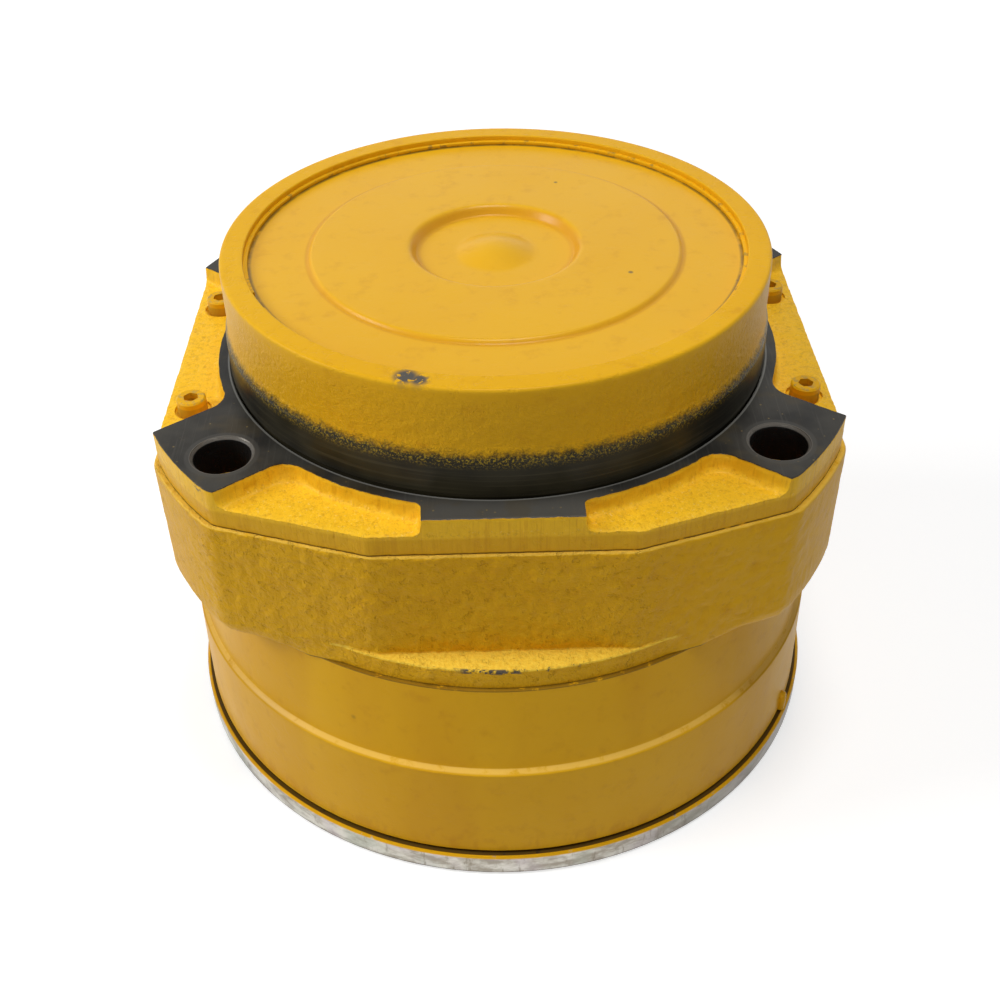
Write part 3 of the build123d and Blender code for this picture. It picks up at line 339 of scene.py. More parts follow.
def clean_object(name, verts, faces, most_corners=None):
    """An object from millimetres, with doubles merged and faces outwards. It can cut large faces into triangles."""
    data = bpy.data.meshes.new(name)
    data.from_pydata([tuple(value / 1000 for value in vert) for vert in verts], [], faces)
    shell = bmesh.new()
    shell.from_mesh(data)
    bmesh.ops.remove_doubles(shell, verts=shell.verts, dist=2e-6)
    if most_corners:
        bmesh.ops.triangulate(shell, faces=[face for face in shell.faces if len(face.verts) > most_corners])
    bmesh.ops.recalc_face_normals(shell, faces=shell.faces)
    shell.to_mesh(data)
    shell.free()
    made = bpy.data.objects.new(name, data)
    bpy.context.collection.objects.link(made)
    return made


def piece(name, verts, faces, material, body, stands_for, crease=32):
    """A finished piece that rides on a body and stands for CAD nodes. Edges sharper than crease stay crisp."""
    made = clean_object(name, verts, faces)
    made.data.shade_smooth()
    made.data.set_sharp_from_angle(angle=radians(crease))
    made.data.materials.append(material)
    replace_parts(made, *stands_for)
    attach(made, body)
    print(name, "faces:", len(made.data.polygons))
    return made


def cloud(point, size, seed, octaves):
    """Smooth random value about -1 to 1 at a point in mm; size is how far apart its lumps are."""
    spot = Vector((point[0] / size + seed, point[1] / size - seed, point[2] / size + 2 * seed))
    return noise.fractal(spot, 1.0, 2.0, octaves)


def dent(point, centre, size, depth):
    """How far a point is pressed in by a round dent."""
    away = dist(point, centre) / size
    return depth * (1 - away * away) ** 2 if away < 1 else 0.0


def worked(verts, lump_at):
    """The points, each moved away from the axis by what lump_at says for it, or left where it says None."""
    out = []
    for x, y, z in verts:
        r = hypot(x, y)
        lump = lump_at(x, y, z, r)
        share = 1.0 if lump is None else (r + lump) / r
        out.append((x * share, y * share, z))
    return out

# %% [markdown]
# ## The brake cap
# The yellow cap is the brake's housing. Its side was painted over a thin black machined band, and the spray
# feathered out over the shoulder between them. The lathe makes the form. Small lumps of the casting are pressed
# into the front of its side, because real bumps catch the light in every view.

# %% Cap finish: enamel over a black turned band
FRONT_CHIPS = ((-35.5, -110.2, 241.0), (-30.5, -112.6, 241.0))


def cap_finish():
    paint = enamel("cap_enamel", 0.15)
    edge = paint.noise(5, 3, 0.6, shift=(1, 2, 3))
    mist = paint.noise(1.3, 2, 0.8, shift=(4, 4, 4))
    rise = paint.z + (edge - 0.5) * 5.0 + (mist - 0.5) * 5.0
    painted = rise.above(211.6, 2.6).math("MAXIMUM", paint.radius.below(120.0, 0.4))
    black = paint.blend((0.010, 0.009, 0.006), (0.040, 0.034, 0.018), paint.noise(30, 2, 0.5).above(0.5, 0.2))
    ring_marks = paint.noise(1.2, 2, 0.6, stretch=(0.02, 0.02, 1))
    black = paint.blend(black, (0.10, 0.085, 0.05), ring_marks.above(0.6, 0.12) * 0.35)
    dust = paint.noise(0.9, 2, 0.8, shift=(6, 1, 6)).above(0.56, 0.06) * paint.z.band(206.5, 214, 2.5)
    black = paint.blend(black, (0.42, 0.28, 0.02), dust * 0.75)
    paint.colour = paint.blend(black, paint.colour, painted)
    # painted highlight: lip lays a paler band along the top edge of the cap's side
    lip = paint.z.band(238.9, 240.6, 0.35) * paint.radius.above(119.8, 0.3)
    paint.lay(ENAMEL_PALE, lip * 0.5)
    chipped = paint.spot(FRONT_CHIPS[0], 4.6, 2.0).math("MAXIMUM", paint.spot(FRONT_CHIPS[1], 3.6, 2.0))
    chipped = chipped * paint.noise(3.4, 3, 0.6).above(0.46, 0.04)
    paint.lay(BARE_IRON, chipped)
    rough = paint.number(0.34, 0.40, painted) + (edge - 0.5) * 0.15
    sand = paint.noise(2.3, 4, 0.65, shift=(8, 3, 8)) * paint.z.below(236, 5) * paint.y.below(-30, 40)
    bump = (enamel_skin(paint) + sand * 2.6) * painted * (1 - chipped) + ring_marks * (1 - painted) * 0.1
    return paint.surface(rough, 0.0, bump, 0.34, painted * 0.03, 0.22)


# %% Cap shell
cap_section = soften(
    [(30, 172.8), (126.8, 172.8), (126.8, 178.8), (121.7, 178.8), (121.7, 192.4), (122.5, 192.4), (122.5, 208.5),
     (121, 214), (121, 241), (110.6, 241), (110.6, 238.6), (112.4, 238.6), (112.4, 236.8), (110.6, 236.8),
     (110.6, 234.2), (106, 234.2), (106, 233.4), (104.05, 233.4), (104.05, 212.4), (97.55, 212.4),
     (97.55, 202.4), (91, 202.4), (91, 188), (30, 188)],
    [0, 0, 0, 0, 0, 0.3, 1.2, 1.8, 1.6, 0.7] + [0] * 14)


def cap_lump(x, y, z, r):
    if r <= 115 or z <= 209:
        return None
    front = max(0.0, -y / r) ** 1.5
    low = min(1.0, max(0.0, (236 - z) / 12)) * min(1.0, (z - 209) / 4)
    lump = cloud((x, y, z), 3.2, 2.0, 3) * 0.30 * front * low + cloud((x, y, z), 26, 5.0, 2) * 0.07
    return lump - sum(dent((x, y, z), centre, 5.0, 0.35) for centre in FRONT_CHIPS) - 0.1


verts, faces = lathe(dense(cap_section, 1.6), 420)
piece("brake_cap", worked(verts, cap_lump), faces, cap_finish(), "housing", ["brake_housing"])

# %% [markdown]
# ## The pressed cover and its ring
# A thin steel disc closes the cap. The press left soft bends round a raised plateau, a round well and a low dome.
# A spring ring in a groove holds it. Dust settles on the level parts, and a few paint specks and one scratch
# show that it is an old surface.

# %% Cover finish and disc


def cover_finish():
    paint = enamel("cover_enamel", 0.1)
    # painted shade: the well's wall and the plateau's foot are darkened with deep enamel all round
    painted_hollow_shade = paint.radius.band(33.5, 37.5, 1.2) + paint.radius.band(82.2, 84.2, 0.6)
    paint.lay(ENAMEL_DEEP, painted_hollow_shade * 0.6)
    gutter = paint.radius.above(107.6, 0.7) * paint.z.below(237.6, 0.4)
    paint.lay(GRIME, gutter * paint.noise(8, 3, 0.6).above(0.35, 0.2) * 0.75)
    for centre, size in (((-15.4, 20.5, 238.4), 1.1), ((57.2, -29.5, 238.4), 1.0), ((-84, -75.7, 236.8), 1.3),
                         ((102.3, -35.9, 236.8), 0.9), ((30, 60, 238.4), 0.8)):
        paint.lay((0.20, 0.13, 0.03), paint.spot(centre, size, 0.5) * 0.9)
    along = paint.mapped((-9.0, 33.0, 0.0), turn=(0.0, 0.0, radians(-24)))
    length, across = (paint.node("ShaderNodeSeparateXYZ", {}, [along], axis) for axis in range(2))
    across = across + (paint.noise(6, 2, 0.5) - 0.5) * 1.2
    scratch = across.band(-0.28, 0.28, 0.15) * length.band(-5.0, 6.5, 0.8)
    paint.lay((0.92, 0.78, 0.45), scratch * 0.7)
    rough = 0.32 + (paint.noise(18, 3, 0.5) - 0.5) * 0.16
    bump = enamel_skin(paint, 0.8) - scratch
    return paint.surface(rough, 0.0, bump, 0.12, 0.03, 0.22, gloss=0.2)


cover_enamel = cover_finish()
dome = [(r, 234.2 + 4.2 * (1 - (r / 18) ** 2) ** 1.35) for r in np.linspace(0, 18, 16)]
cover_corners = [(18, 234.2), (34.9, 234.2), (37.9, 238.4), (81.2, 238.4), (82.8, 236.8), (110.3, 236.8),
                 (110.3, 234.3), (83.4, 234.3), (80.4, 235.9), (39.9, 235.9), (35.2, 232.4), (0, 232.4)]
cover_top = soften(dome[:-1] + cover_corners, [0] * len(dome) + [1.0, 1.8, 0.8, 0.8, 0.35] + [0] * 6)
verts, faces = lathe(dense(cover_top, 2.2, False), 360, False)
verts = [(x, y, z + cloud((x, y, 0), 55, 7.0, 2) * 0.12 * min(1, max(0, (108 - hypot(x, y)) / 10)))
         for x, y, z in verts]
piece("cap_cover", verts, faces, cover_enamel, "housing", ["pressed_cover"])

# %% Spring ring in the cap's groove
ring_half_gap = degrees(7.0 / 109)
ring_angles = np.radians(np.linspace(205 + ring_half_gap, 565 - ring_half_gap, 361))
ring_section = soften([(108.9, 236.85), (112.3, 236.85), (112.3, 238.55), (108.9, 238.55)], [0.4, 0.2, 0.2, 0.4], 2)
verts = [vert for a in ring_angles for r, z in ring_section for vert in circle(r, z, [a])]
count = len(ring_section)
faces = [tuple(range(count)), tuple(range(len(verts) - 1, len(verts) - 1 - count, -1))]
faces += ring_faces(len(ring_angles), count, False)


def ring_finish():
    paint = enamel("ring_enamel", 0.3)
    worn = paint.noise(5, 3, 0.6).above(0.62, 0.06)
    paint.lay(BARE_IRON, worn * 0.5)
    return paint.surface(0.42, 0.0, enamel_skin(paint), 0.1)


piece("cap_ring", verts, faces, ring_finish(), "housing", ["cover_retaining_ring"])

# %% [markdown]
# ## The drum
# The bearing housing was turned too, but from a casting: faint rings of the tool, a painted highlight on the
# chamfer at the step, one blow hole, and a small cast lug just above the hub. Dirt and oil darken the joint under
# the block.

# %% Drum finish
DRUM_PIT = (-67.8, -138.8, 83.0)


def drum_finish():
    paint = enamel("drum_enamel", 0.35)
    tone = paint.noise(34, 2, 0.5, stretch=(1, 1, 0.12), shift=(2, 2, 9))
    paint.lay(ENAMEL_DEEP, tone.above(0.55, 0.12) * 0.25)
    # painted highlight: the mask named worn lays a brighter yellow, in patches, on the up-facing chamfer of the
    # step
    worn = paint.z.band(64.5, 66.1, 0.25) * paint.noise(7, 4, 0.7).above(0.38, 0.10)
    paint.lay((0.96, 0.62, 0.13), worn * 0.7)
    seam = paint.z.above(109.5, 0.25) * paint.noise(6, 4, 0.7).above(0.38, 0.08)
    paint.lay((0.08, 0.045, 0.01), seam * 0.7)
    splash = paint.z.band(12, 21, 5) * paint.noise(7, 4, 0.6, stretch=(1, 1, 0.4)).above(0.52, 0.08)
    paint.lay(ENAMEL_DEEP, splash * 0.45)
    pit = paint.spot(DRUM_PIT, 2.2, 0.7)
    paint.lay((0.04, 0.03, 0.015), pit * 0.9)
    rings = paint.noise(1.6, 2, 0.6, stretch=(0.015, 0.015, 1))
    rough = 0.40 + (paint.noise(22, 3, 0.5) - 0.5) * 0.2 - worn * 0.08
    bump = enamel_skin(paint) + rings * 0.12
    return paint.surface(rough, 0.0, bump, 0.14, 0.03, 0.22)


# %% Drum shell with its lug
drum_section = soften(
    [(148.5, 12.7), (157.5, 12.7), (156.5, 64), (153.8, 66), (149.5, 110), (124.05, 110), (124.05, 98),
     (100.05, 98), (100.05, 69.5), (94, 69.5), (94, 66), (112.55, 66), (112.55, 37), (134.3, 37), (134.3, 30),
     (148.5, 30)],
    [0, 0.8, 0.5, 0.6] + [0] * 12)


def drum_lump(x, y, z, r):
    if r <= 148.6:
        return None
    lump = cloud((x, y, z * 0.5), 40, 3.0, 2) * 0.10 + cloud((x, y, z), 4.0, 6.0, 3) * 0.05 - 0.05
    return lump - dent((x, y, z), DRUM_PIT, 2.6, 0.8)


verts, faces = lathe(dense(drum_section, 2.0), 480)
verts = worked(verts, drum_lump)
LUG_R, LUG_OUT, LUG_SIDE = 156.2, 3.9, 2.5
lug_out, lug_side = unit(radians(-28.0)), unit(radians(62.0))
lug_first = len(verts)
lug_rows = ((12.7, 0.9), (13.2, 1.0), (21.5, 1.0), (22.8, 0.85), (23.7, 0.5))
lug_steps = 20
for z, share in lug_rows:
    for i in range(lug_steps):
        out, side = (copysign(abs(value) ** 0.5, value) for value in unit(2 * pi * i / lug_steps))
        spot = lug_out * (LUG_R + LUG_OUT * share * out) + lug_side * LUG_SIDE * share * side
        verts.append((*spot, z))
faces += ring_faces(len(lug_rows), lug_steps, False, lug_first)
faces.append(tuple(range(lug_first + lug_steps - 1, lug_first - 1, -1)))
faces.append(tuple(range(len(verts) - lug_steps, len(verts))))
piece("bearing_drum", verts, faces, drum_finish(), "housing", ["bearing_housing"])

# %% [markdown]
# ## The hub's steel flange
# The hub's flange is bare turned steel, handled and wiped with oily rags, so it has smears rather than a pattern.
# Its CAD mesh has the right shape and holes, but loose flat triangles. A copy with its doubles merged can be
# shaded smooth, and stands for the node.

# %% Smooth copies of CAD nodes
def smooth_copy(node, name, material, body):
    verts, faces = in_millimetres(frame["nodes"][node].data)
    return piece(name, verts, faces, material, body, [node], crease=24)


def hub_finish():
    steel = Finish("hub_bare_steel")
    smear = steel.noise(16, 4, 0.65, stretch=(1, 1, 2.2))
    streak = steel.noise(3.5, 3, 0.6, stretch=(1, 1, 0.25), shift=(7, 1, 1))
    steel.colour = steel.blend((0.57, 0.55, 0.49), (0.30, 0.27, 0.22), smear.above(0.50, 0.12))
    steel.lay((0.42, 0.36, 0.40), steel.noise(24, 2, 0.5, shift=(4, 9, 9)).above(0.58, 0.08) * 0.4)
    steel.lay((0.36, 0.40, 0.33), steel.noise(21, 2, 0.5, shift=(1, 3, 7)).above(0.60, 0.08) * 0.4)
    steel.lay((0.16, 0.13, 0.09), streak.above(0.63, 0.06) * 0.55)
    # painted shade: the steel is darker towards +x, the side away from the key lamp
    steel.lay((0.15, 0.13, 0.11), steel.x.above(70, 60) * 0.8)
    edge = steel.radius.above(159.4, 0.25)
    top = steel.z.above(10.6, 0.25)
    painted = top * steel.noise(5, 3, 0.6).above(0.30, 0.08)
    steel.lay(ENAMEL, painted)
    # painted shadow: the flange's top is darkened inside radius 159, in the gap under the drum's edge
    steel.lay((0.03, 0.02, 0.01), top * steel.radius.below(159.0, 0.2) * 0.9)
    line = steel.z.band(0.9, 1.5, 0.12) * edge
    steel.lay((0.05, 0.04, 0.03), line * 0.7)
    rough = 0.36 + (smear - 0.5) * 0.35 + painted * 0.05
    rings = steel.noise(0.9, 2, 0.6, stretch=(0.015, 0.015, 1))
    return steel.surface(rough, 1.0 - painted, rings * 0.5 + smear * 0.2, 0.05)


smooth_copy("output_hub", "hub_flange", hub_finish(), "hub")

# %% [markdown]
# ## The outline that casting and plate share
# Seen from above, both are a flat front and back, slanting shoulders, straight sides and round corners. The shape
# is convex, so its corners can be rounded with one formula: from each point of a smaller outline, a disc of the
# corner's radius reaches some distance along a ray, and the furthest reach over all points is the rounded outline.

# %% Distance from the axis to the outline at any angle
FRONT_FLAT = 54.0
SHOULDER_SLOPE = tan(radians(18.5))


def outline(angles, half_width, half_depth, corner_r, corner_round):
    small = np.radians(np.arange(0, 360, 0.25))
    drop = 1 / hypot(1, SHOULDER_SLOPE)
    shoulder = (half_depth + FRONT_FLAT * SHOULDER_SLOPE) * drop
    cos, sin = np.abs(np.cos(small)), np.abs(np.sin(small))
    with np.errstate(divide="ignore"):
        reach = np.minimum.reduce([
            (half_width - corner_round) / cos,
            (half_depth - corner_round) / sin,
            (shoulder - corner_round) / (SHOULDER_SLOPE * drop * cos + drop * sin),
            np.full_like(cos, corner_r - corner_round)])
    points = np.stack([reach * np.cos(small), reach * np.sin(small)], 1)
    rays = np.stack([np.cos(angles), np.sin(angles)], 1)
    along = rays @ points.T
    across = rays[:, :1] * points[None, :, 1] - rays[:, 1:] * points[None, :, 0]
    inside = corner_round ** 2 - across ** 2
    return np.where(inside > 0, along + np.sqrt(np.maximum(inside, 0)), 0).max(axis=1)


print("plate half width and depth:", outline(np.radians([0, 90]), 147.5, 134.5, 163.5, 4))

# %% [markdown]
# ## The motor's casting
# This block was cast in sand and only machined above and below. Its front is rough, its corners were ground
# smoother, and where the turned band under it is wider than its front, a crescent ledge is left, lit by a painted
# highlight. The mesh is a skin over the shared outline, row upon row, and every row is pushed about by noise where
# the sand was rough.

# %% Casting finish
LEDGE_CHIPS = (((-14, -147.5, 120), 4.0), ((-8, -148, 119.6), 3.2), ((3, -148, 119.8), 3.0),
               ((-27, -145.5, 120), 2.0))


def casting_finish():
    paint = enamel("casting_enamel", 0.10)
    lumps = paint.noise(5.5, 5, 0.65, shift=(1, 7, 2))
    paint.lay(ENAMEL_DEEP, lumps.below(0.42, 0.08) * 0.18)
    paint.lay((0.85, 0.55, 0.13), lumps.above(0.62, 0.08) * 0.12)
    pitted = paint.noise(3.1, 3, 0.6, shift=(8, 8, 8)).below(0.36, 0.05)
    paint.lay((0.42, 0.20, 0.01), pitted * 0.14)
    # painted highlight: the crescent ledge's up-facing top gets a paler yellow, brighter still where glint is high
    ledge = paint.z.band(119.4, 120.7, 0.2) * paint.radius.below(148.8, 0.4)
    glint = paint.noise(1.6, 4, 0.7, shift=(2, 5, 9)).above(0.50, 0.12)
    paint.lay((0.98, 0.66, 0.07), ledge * (0.6 + glint * 0.4))
    # painted highlight: a pale, patchy line along the casting's top edge under the plate
    top_edge = paint.z.above(172.2, 0.25) * paint.noise(6, 4, 0.7).above(0.36, 0.1)
    paint.lay((0.95, 0.62, 0.10), top_edge * 0.6)
    under = paint.z.below(110.5, 0.2)
    paint.lay((0.12, 0.07, 0.015), under * 0.7)
    front_lip = paint.z.band(118.3, 120.6, 0.4) * paint.radius.above(146.6, 0.5) * paint.y.below(-140, 1.0)
    chips = front_lip * paint.x.band(-19, 7, 3.0) * paint.noise(4.0, 4, 0.7, shift=(1, 0, 2)).above(0.47, 0.04)
    thin = front_lip * paint.x.band(-30, 30, 6.0) * paint.noise(2.4, 4, 0.7, shift=(4, 4, 0)).above(0.58, 0.03)
    chips = chips.math("MAXIMUM", thin * 0.8)
    paint.lay((0.10, 0.085, 0.07), chips)
    rough = 0.44 + (lumps - 0.5) * 0.25
    streaks = paint.noise(2.2, 3, 0.6, stretch=(1, 1, 0.06), shift=(6, 6, 6)) * paint.z.band(121, 131, 4)
    smooth_side = paint.x.above(62, 16) * paint.y.below(-60, 20)
    sand = paint.noise(2.4, 4, 0.6, shift=(7, 7, 1)) * 1.4
    grain = (enamel_skin(paint, 1.2) + lumps * 1.2 + sand - pitted * 0.6) * (1 - smooth_side * 0.75)
    bump = grain - chips * 0.5 + streaks * 0.8
    return paint.surface(rough, 0.0, bump, 0.62, 0.02, 0.25)


# %% Casting skin, row upon row
CAST_LOW, CAST_LEDGE, CAST_TOP = 110.0, 120.0, 172.8
LEDGE_ROWS, BORE_R = 12, 124.05
cast_angles = np.radians(np.arange(0, 360, 1 / 3))
CAST_HALF_DEPTH, PORT_Z = 136.0, 159.4
cast_reach = outline(cast_angles, 150.5, CAST_HALF_DEPTH, 166.0, 15.0)
corner_share = np.clip((cast_reach - 151.5) / 8.0, 0, 1)
row_levels = [CAST_LOW, 110.3, 110.8, 111.5, 112.4, 113.4, 114.6, 116.0, 117.4, 118.6, 119.4, 119.8, CAST_LEDGE]
row_levels += [CAST_LEDGE, 120.15, 120.5, 121.2, *np.arange(122.4, 171.2, 1.3)]
row_levels += [171.4, 172.0, 172.4, 172.65, CAST_TOP]
skin = []
for row, z in enumerate(row_levels):
    low = max(0.0, 119.0 - z)
    inset = 9 - sqrt(max(0.0, 81 - low * low))
    reach = cast_reach - inset * corner_share
    if row <= LEDGE_ROWS:
        lip = 0.35 * max(0.0, 1 - (CAST_LEDGE - z) / 0.6) ** 2
        reach = np.maximum(reach, 148.0 - lip)
    edge = 0.7 * max(0.0, 1 - (CAST_TOP - z) / 1.1) ** 2
    for angle, r, base in zip(cast_angles, reach, cast_reach):
        x, y = r * cos(angle), r * sin(angle)
        front = min(1.0, max(0.0, (abs(y) - 96) / 22))
        free = min(1.0, max(0.0, (z - 110.5) / 3)) * (0.25 if row <= LEDGE_ROWS and r > base + 0.2 else 1.0)
        rough = (cloud((x, y, z), 13, 1.0, 3) * 0.55 + cloud((x, y, z), 4.2, 4.0, 3) * 0.50) * (0.25 + 0.75 * front)
        r = r - edge - 0.25 + rough * free * min(1.0, 0.4 + (CAST_TOP - z) / 4)
        r += 0.8 * exp(-((x + 32.5) ** 2 + (z - 115.8) ** 2) / 6.0) if y < 0 else 0.0
        for centre, size in LEDGE_CHIPS:
            r -= dent((x, y, z), centre, size, 0.5)
        skin.append((r * cos(angle), r * sin(angle), z))
for z in (CAST_TOP, CAST_LOW):
    skin += circle(BORE_R, z, cast_angles)
faces = ring_faces(len(row_levels) + 2, len(cast_angles))
print("casting skin:", len(skin), "points in", len(row_levels), "rows")

# %% [markdown]
# ## Cutting holes with other solids
# Drilled holes are what a Boolean modifier is for: a plain closed cutter goes in, and what it touches is removed.
# The exact solver needs closed cutters that don't touch each other. The result is read back as a plain mesh.

# %% Cutters and the cut
def hole_cutter(x, y, section):
    """A round plug on an upright axis at x, y, from its section as (radius, height)."""
    verts, faces = lathe(section, 96, False)
    return [(x + vx, y + vy, vz) for vx, vy, vz in verts], faces


def joined(parts):
    verts, faces = [], []
    for part_verts, part_faces in parts:
        faces += [tuple(len(verts) + i for i in face) for face in part_faces]
        verts += part_verts
    return verts, faces


def cut(verts, faces, cutters):
    """The solid with each cutter taken away, as vertices in mm and faces."""
    body = clean_object("uncut", verts, faces, 4)
    tools = []
    for cutter_verts, cutter_faces in cutters:
        tool = clean_object("cutter", cutter_verts, cutter_faces, 4)
        step = body.modifiers.new("cut", "BOOLEAN")
        step.operation = "DIFFERENCE"
        step.solver = "EXACT"
        step.object = tool
        tools.append(tool)
    seen = body.evaluated_get(bpy.context.evaluated_depsgraph_get())
    left, left_faces = in_millimetres(bpy.data.meshes.new_from_object(seen))
    for thing in (body, *tools):
        bpy.data.objects.remove(thing)
    print("cut:", len(faces), "faces became", len(left_faces))
    return left, left_faces


# %% Bolt holes and ports of the casting
EAR_X, EAR_Y, EAR_HOLE_R = 115.0, 89.0, 12.0


def four_places(x, y):
    return [(sx * x, sy * y) for sx in (-1, 1) for sy in (-1, 1)]


EAR_HOLES = four_places(EAR_X, EAR_Y)


def port_cutter(x, z, r, depth, mouth):
    """A port drilled into the back face, with a shallow faced ring round its mouth."""
    section = [(0, 0), (r, 0), (r, depth - 1.2), (r + 1.2, depth), (mouth, depth), (mouth, depth + 12),
               (0, depth + 12)]
    verts, faces = lathe(section, 64, False)
    start = CAST_HALF_DEPTH - depth
    return [(x + vx, start + vz - 0.6, z + vy) for vx, vy, vz in verts], faces


casting_cutters = joined(
    [hole_cutter(x, y, [(0, 132.8), (EAR_HOLE_R, 132.8), (EAR_HOLE_R, 176), (0, 176)]) for x, y in EAR_HOLES]
    + [port_cutter(-42, PORT_Z, 11.15, 16.0, 12.4), port_cutter(42, PORT_Z, 11.15, 16.0, 12.4),
       port_cutter(0, PORT_Z, 5.15, 14.0, 9.5), port_cutter(0, 133, 6.55, 9.0, 11.0)])
verts, faces = cut(skin, faces, [casting_cutters])
piece("cast_block", verts, faces, casting_finish(), "housing", ["motor_casting"], crease=38)

# %% [markdown]
# ## The mounting plate
# The plate's top is one machined plane: a ring round the cap, a tongue at the front and back, and four ears with
# bolt holes. Between them are rough pockets, as they came from the mould. So the plate is made the same way
# round as the real one: a clean slab, from which six rough pocket shapes are taken away. The slab keeps its flat
# lands, and the pockets bring their own lumps, draft and rounded roots.

# %% Slab of the plate
PLATE_LOW, PLATE_TOP, POCKET_FLOOR = CAST_TOP, 191.0, 183.0
PLATE_STEP = 0.3
plate_angles = np.radians(np.arange(0, 360, PLATE_STEP))
plate_reach = outline(plate_angles, 147.5, 134.5, 163.5, 7.5)
slab_rows = [(0.0, z) for z in np.arange(PLATE_LOW, PLATE_TOP - 0.8, 1.16)]
slab_rows += [(0.0, 190.3), (0.15, 190.7), (0.45, PLATE_TOP)]
slab = []
for inset, z in slab_rows:
    for angle, reach in zip(plate_angles, plate_reach):
        x, y = reach * cos(angle), reach * sin(angle)
        rough = cloud((x, y, z * 0.35), 7, 8.0, 3) * 0.22 + cloud((x, y, z), 2.5, 3.0, 2) * 0.10 - 0.15
        r = reach - inset + rough * min(1.0, (191.2 - z) / 2)
        slab.append((r * cos(angle), r * sin(angle), z))
for r, z in ((123.15, PLATE_TOP), (122.55, 190.4), (122.55, 178.85), (126.85, 178.85), (126.85, PLATE_LOW)):
    slab += circle(r, z, plate_angles)
slab_faces = ring_faces(len(slab) // len(plate_angles), len(plate_angles))
print("slab points:", len(slab))

# %% The lands' edges, from lines and arcs
LAND_R = 128.0
EAR_TURN = atan2(EAR_Y, EAR_X)


def edge_line(normal_angle, way_angle, width, blend, far):
    """One straight land edge, and the blend from it into the round land; the line starts far from the axis."""
    normal, way = unit(normal_angle), unit(way_angle)
    along = sqrt((LAND_R + blend) ** 2 - (width + blend) ** 2)
    middle = (width + blend) * normal + along * way
    line = [width * normal + t * way for t in np.arange(far, along, -1.1)]
    first = atan2(*(width * normal + along * way - middle)[::-1])
    last = atan2(*(middle * LAND_R / (LAND_R + blend) - middle)[::-1])
    sweep = (last - first + pi) % (2 * pi) - pi
    steps = max(4, int(abs(sweep) * blend / 0.8))
    return line + [middle + blend * unit(first + sweep * k / steps) for k in range(steps + 1)]


def pocket_edge(first, second):
    """The whole wall line of one pocket: a straight edge, the round land, and the other straight edge."""
    start, end = edge_line(*first), edge_line(*second)
    a0 = atan2(start[-1][1], start[-1][0])
    a1 = atan2(end[-1][1], end[-1][0])
    sweep = (a1 - a0 + pi) % (2 * pi) - pi
    steps = int(abs(sweep) * LAND_R / 1.1)
    arc = [LAND_R * unit(a0 + sweep * k / steps) for k in range(1, steps)]
    return np.array(start + arc + end[::-1])


right_low = (pi / 2 - EAR_TURN, -EAR_TURN, 33.0, 11.0, 186.0)
right_high = (EAR_TURN - pi / 2, EAR_TURN, 33.0, 11.0, 186.0)
front_ear = (-pi / 2 - EAR_TURN, -EAR_TURN, 19.5, 11.0, 186.0)
front_tongue = (0.0, -pi / 2, 32.0, 3.5, 156.0)
side_wall = pocket_edge(right_low, right_high)
front_wall = pocket_edge(front_ear, front_tongue)
pocket_walls = [side_wall, side_wall * (-1, 1)]
pocket_walls += [front_wall * (sx, sy) for sx in (1, -1) for sy in (1, -1)]
print("points on a side pocket's wall:", len(side_wall), "and a front one's:", len(front_wall))

# %% Rough pocket cutters
OVER_TOP = 195.0
WALL_PROFILE = ((-0.35, OVER_TOP), (0.0, PLATE_TOP), (0.12, 190.0), (0.25, 188.8), (0.38, 187.6), (0.55, 186.4),
                (0.8, 185.3), (1.15, 184.4), (1.65, 183.7), (2.3, 183.2), (3.0, POCKET_FLOOR))
FLOOR_STEPS = 22


def pocket_cutter(wall):
    """A closed shape that fills one pocket and reaches out past the plate's side and over its top."""
    middle = wall[len(wall) // 2]
    ahead = np.roll(wall, -1, 0) - np.roll(wall, 1, 0)
    ahead[0], ahead[-1] = wall[1] - wall[0], wall[-1] - wall[-2]
    inwards = np.stack([-ahead[:, 1], ahead[:, 0]], 1) / np.hypot(ahead[:, 0], ahead[:, 1])[:, None]
    if inwards[len(wall) // 2] @ middle < 0:
        inwards = -inwards
    run = np.concatenate([[0], np.cumsum(np.hypot(*np.diff(wall, axis=0).T))])
    share = (run / run[-1])[:, None]
    way = middle / np.hypot(*middle)
    first, last = wall[0] + way * 4, wall[-1] + way * 4
    closing = first * (1 - share) + last * share
    closing = closing + way * 6 * np.sin(share * pi)
    verts = []
    for edge, normal, out in zip(wall, inwards, closing):
        loop = []
        for offset, z in WALL_PROFILE:
            x, y = edge + normal * offset
            lump = cloud((x, y, z), 9, 2.5, 3) * 0.55 + cloud((x, y, z * 1.5), 3.5, 6.5, 2) * 0.25
            x, y = (x, y) + normal * lump * (0.35 if z > 190 else 1.0)
            loop.append((x, y, z - (0.25 * cloud((x, y, 0), 6, 9.0, 3) if z < 184 else 0)))
        foot = np.array(loop[-1][:2])
        for k in range(1, FLOOR_STEPS + 1):
            x, y = foot + (out - foot) * k / FLOOR_STEPS
            step = degrees(atan2(y, x)) % 360 / PLATE_STEP
            rim = np.interp(step, np.arange(len(plate_reach) + 1), [*plate_reach, plate_reach[0]])
            edge_drop = 0.7 * min(1.0, max(0.0, (hypot(x, y) - rim + 1.8) / 1.8)) ** 2
            z = POCKET_FLOOR - 0.25 * cloud((x, y, 0), 6, 9.0, 3) - 0.12 * cloud((x, y, 3), 2.6, 1.0, 2) - edge_drop
            loop.append((x, y, z))
        loop.append((*out, OVER_TOP))
        verts += loop
    faces = ring_faces(len(wall), len(loop), False)
    faces += [tuple(range(len(loop))), tuple(range(len(verts) - 1, len(verts) - 1 - len(loop), -1))]
    return verts, faces


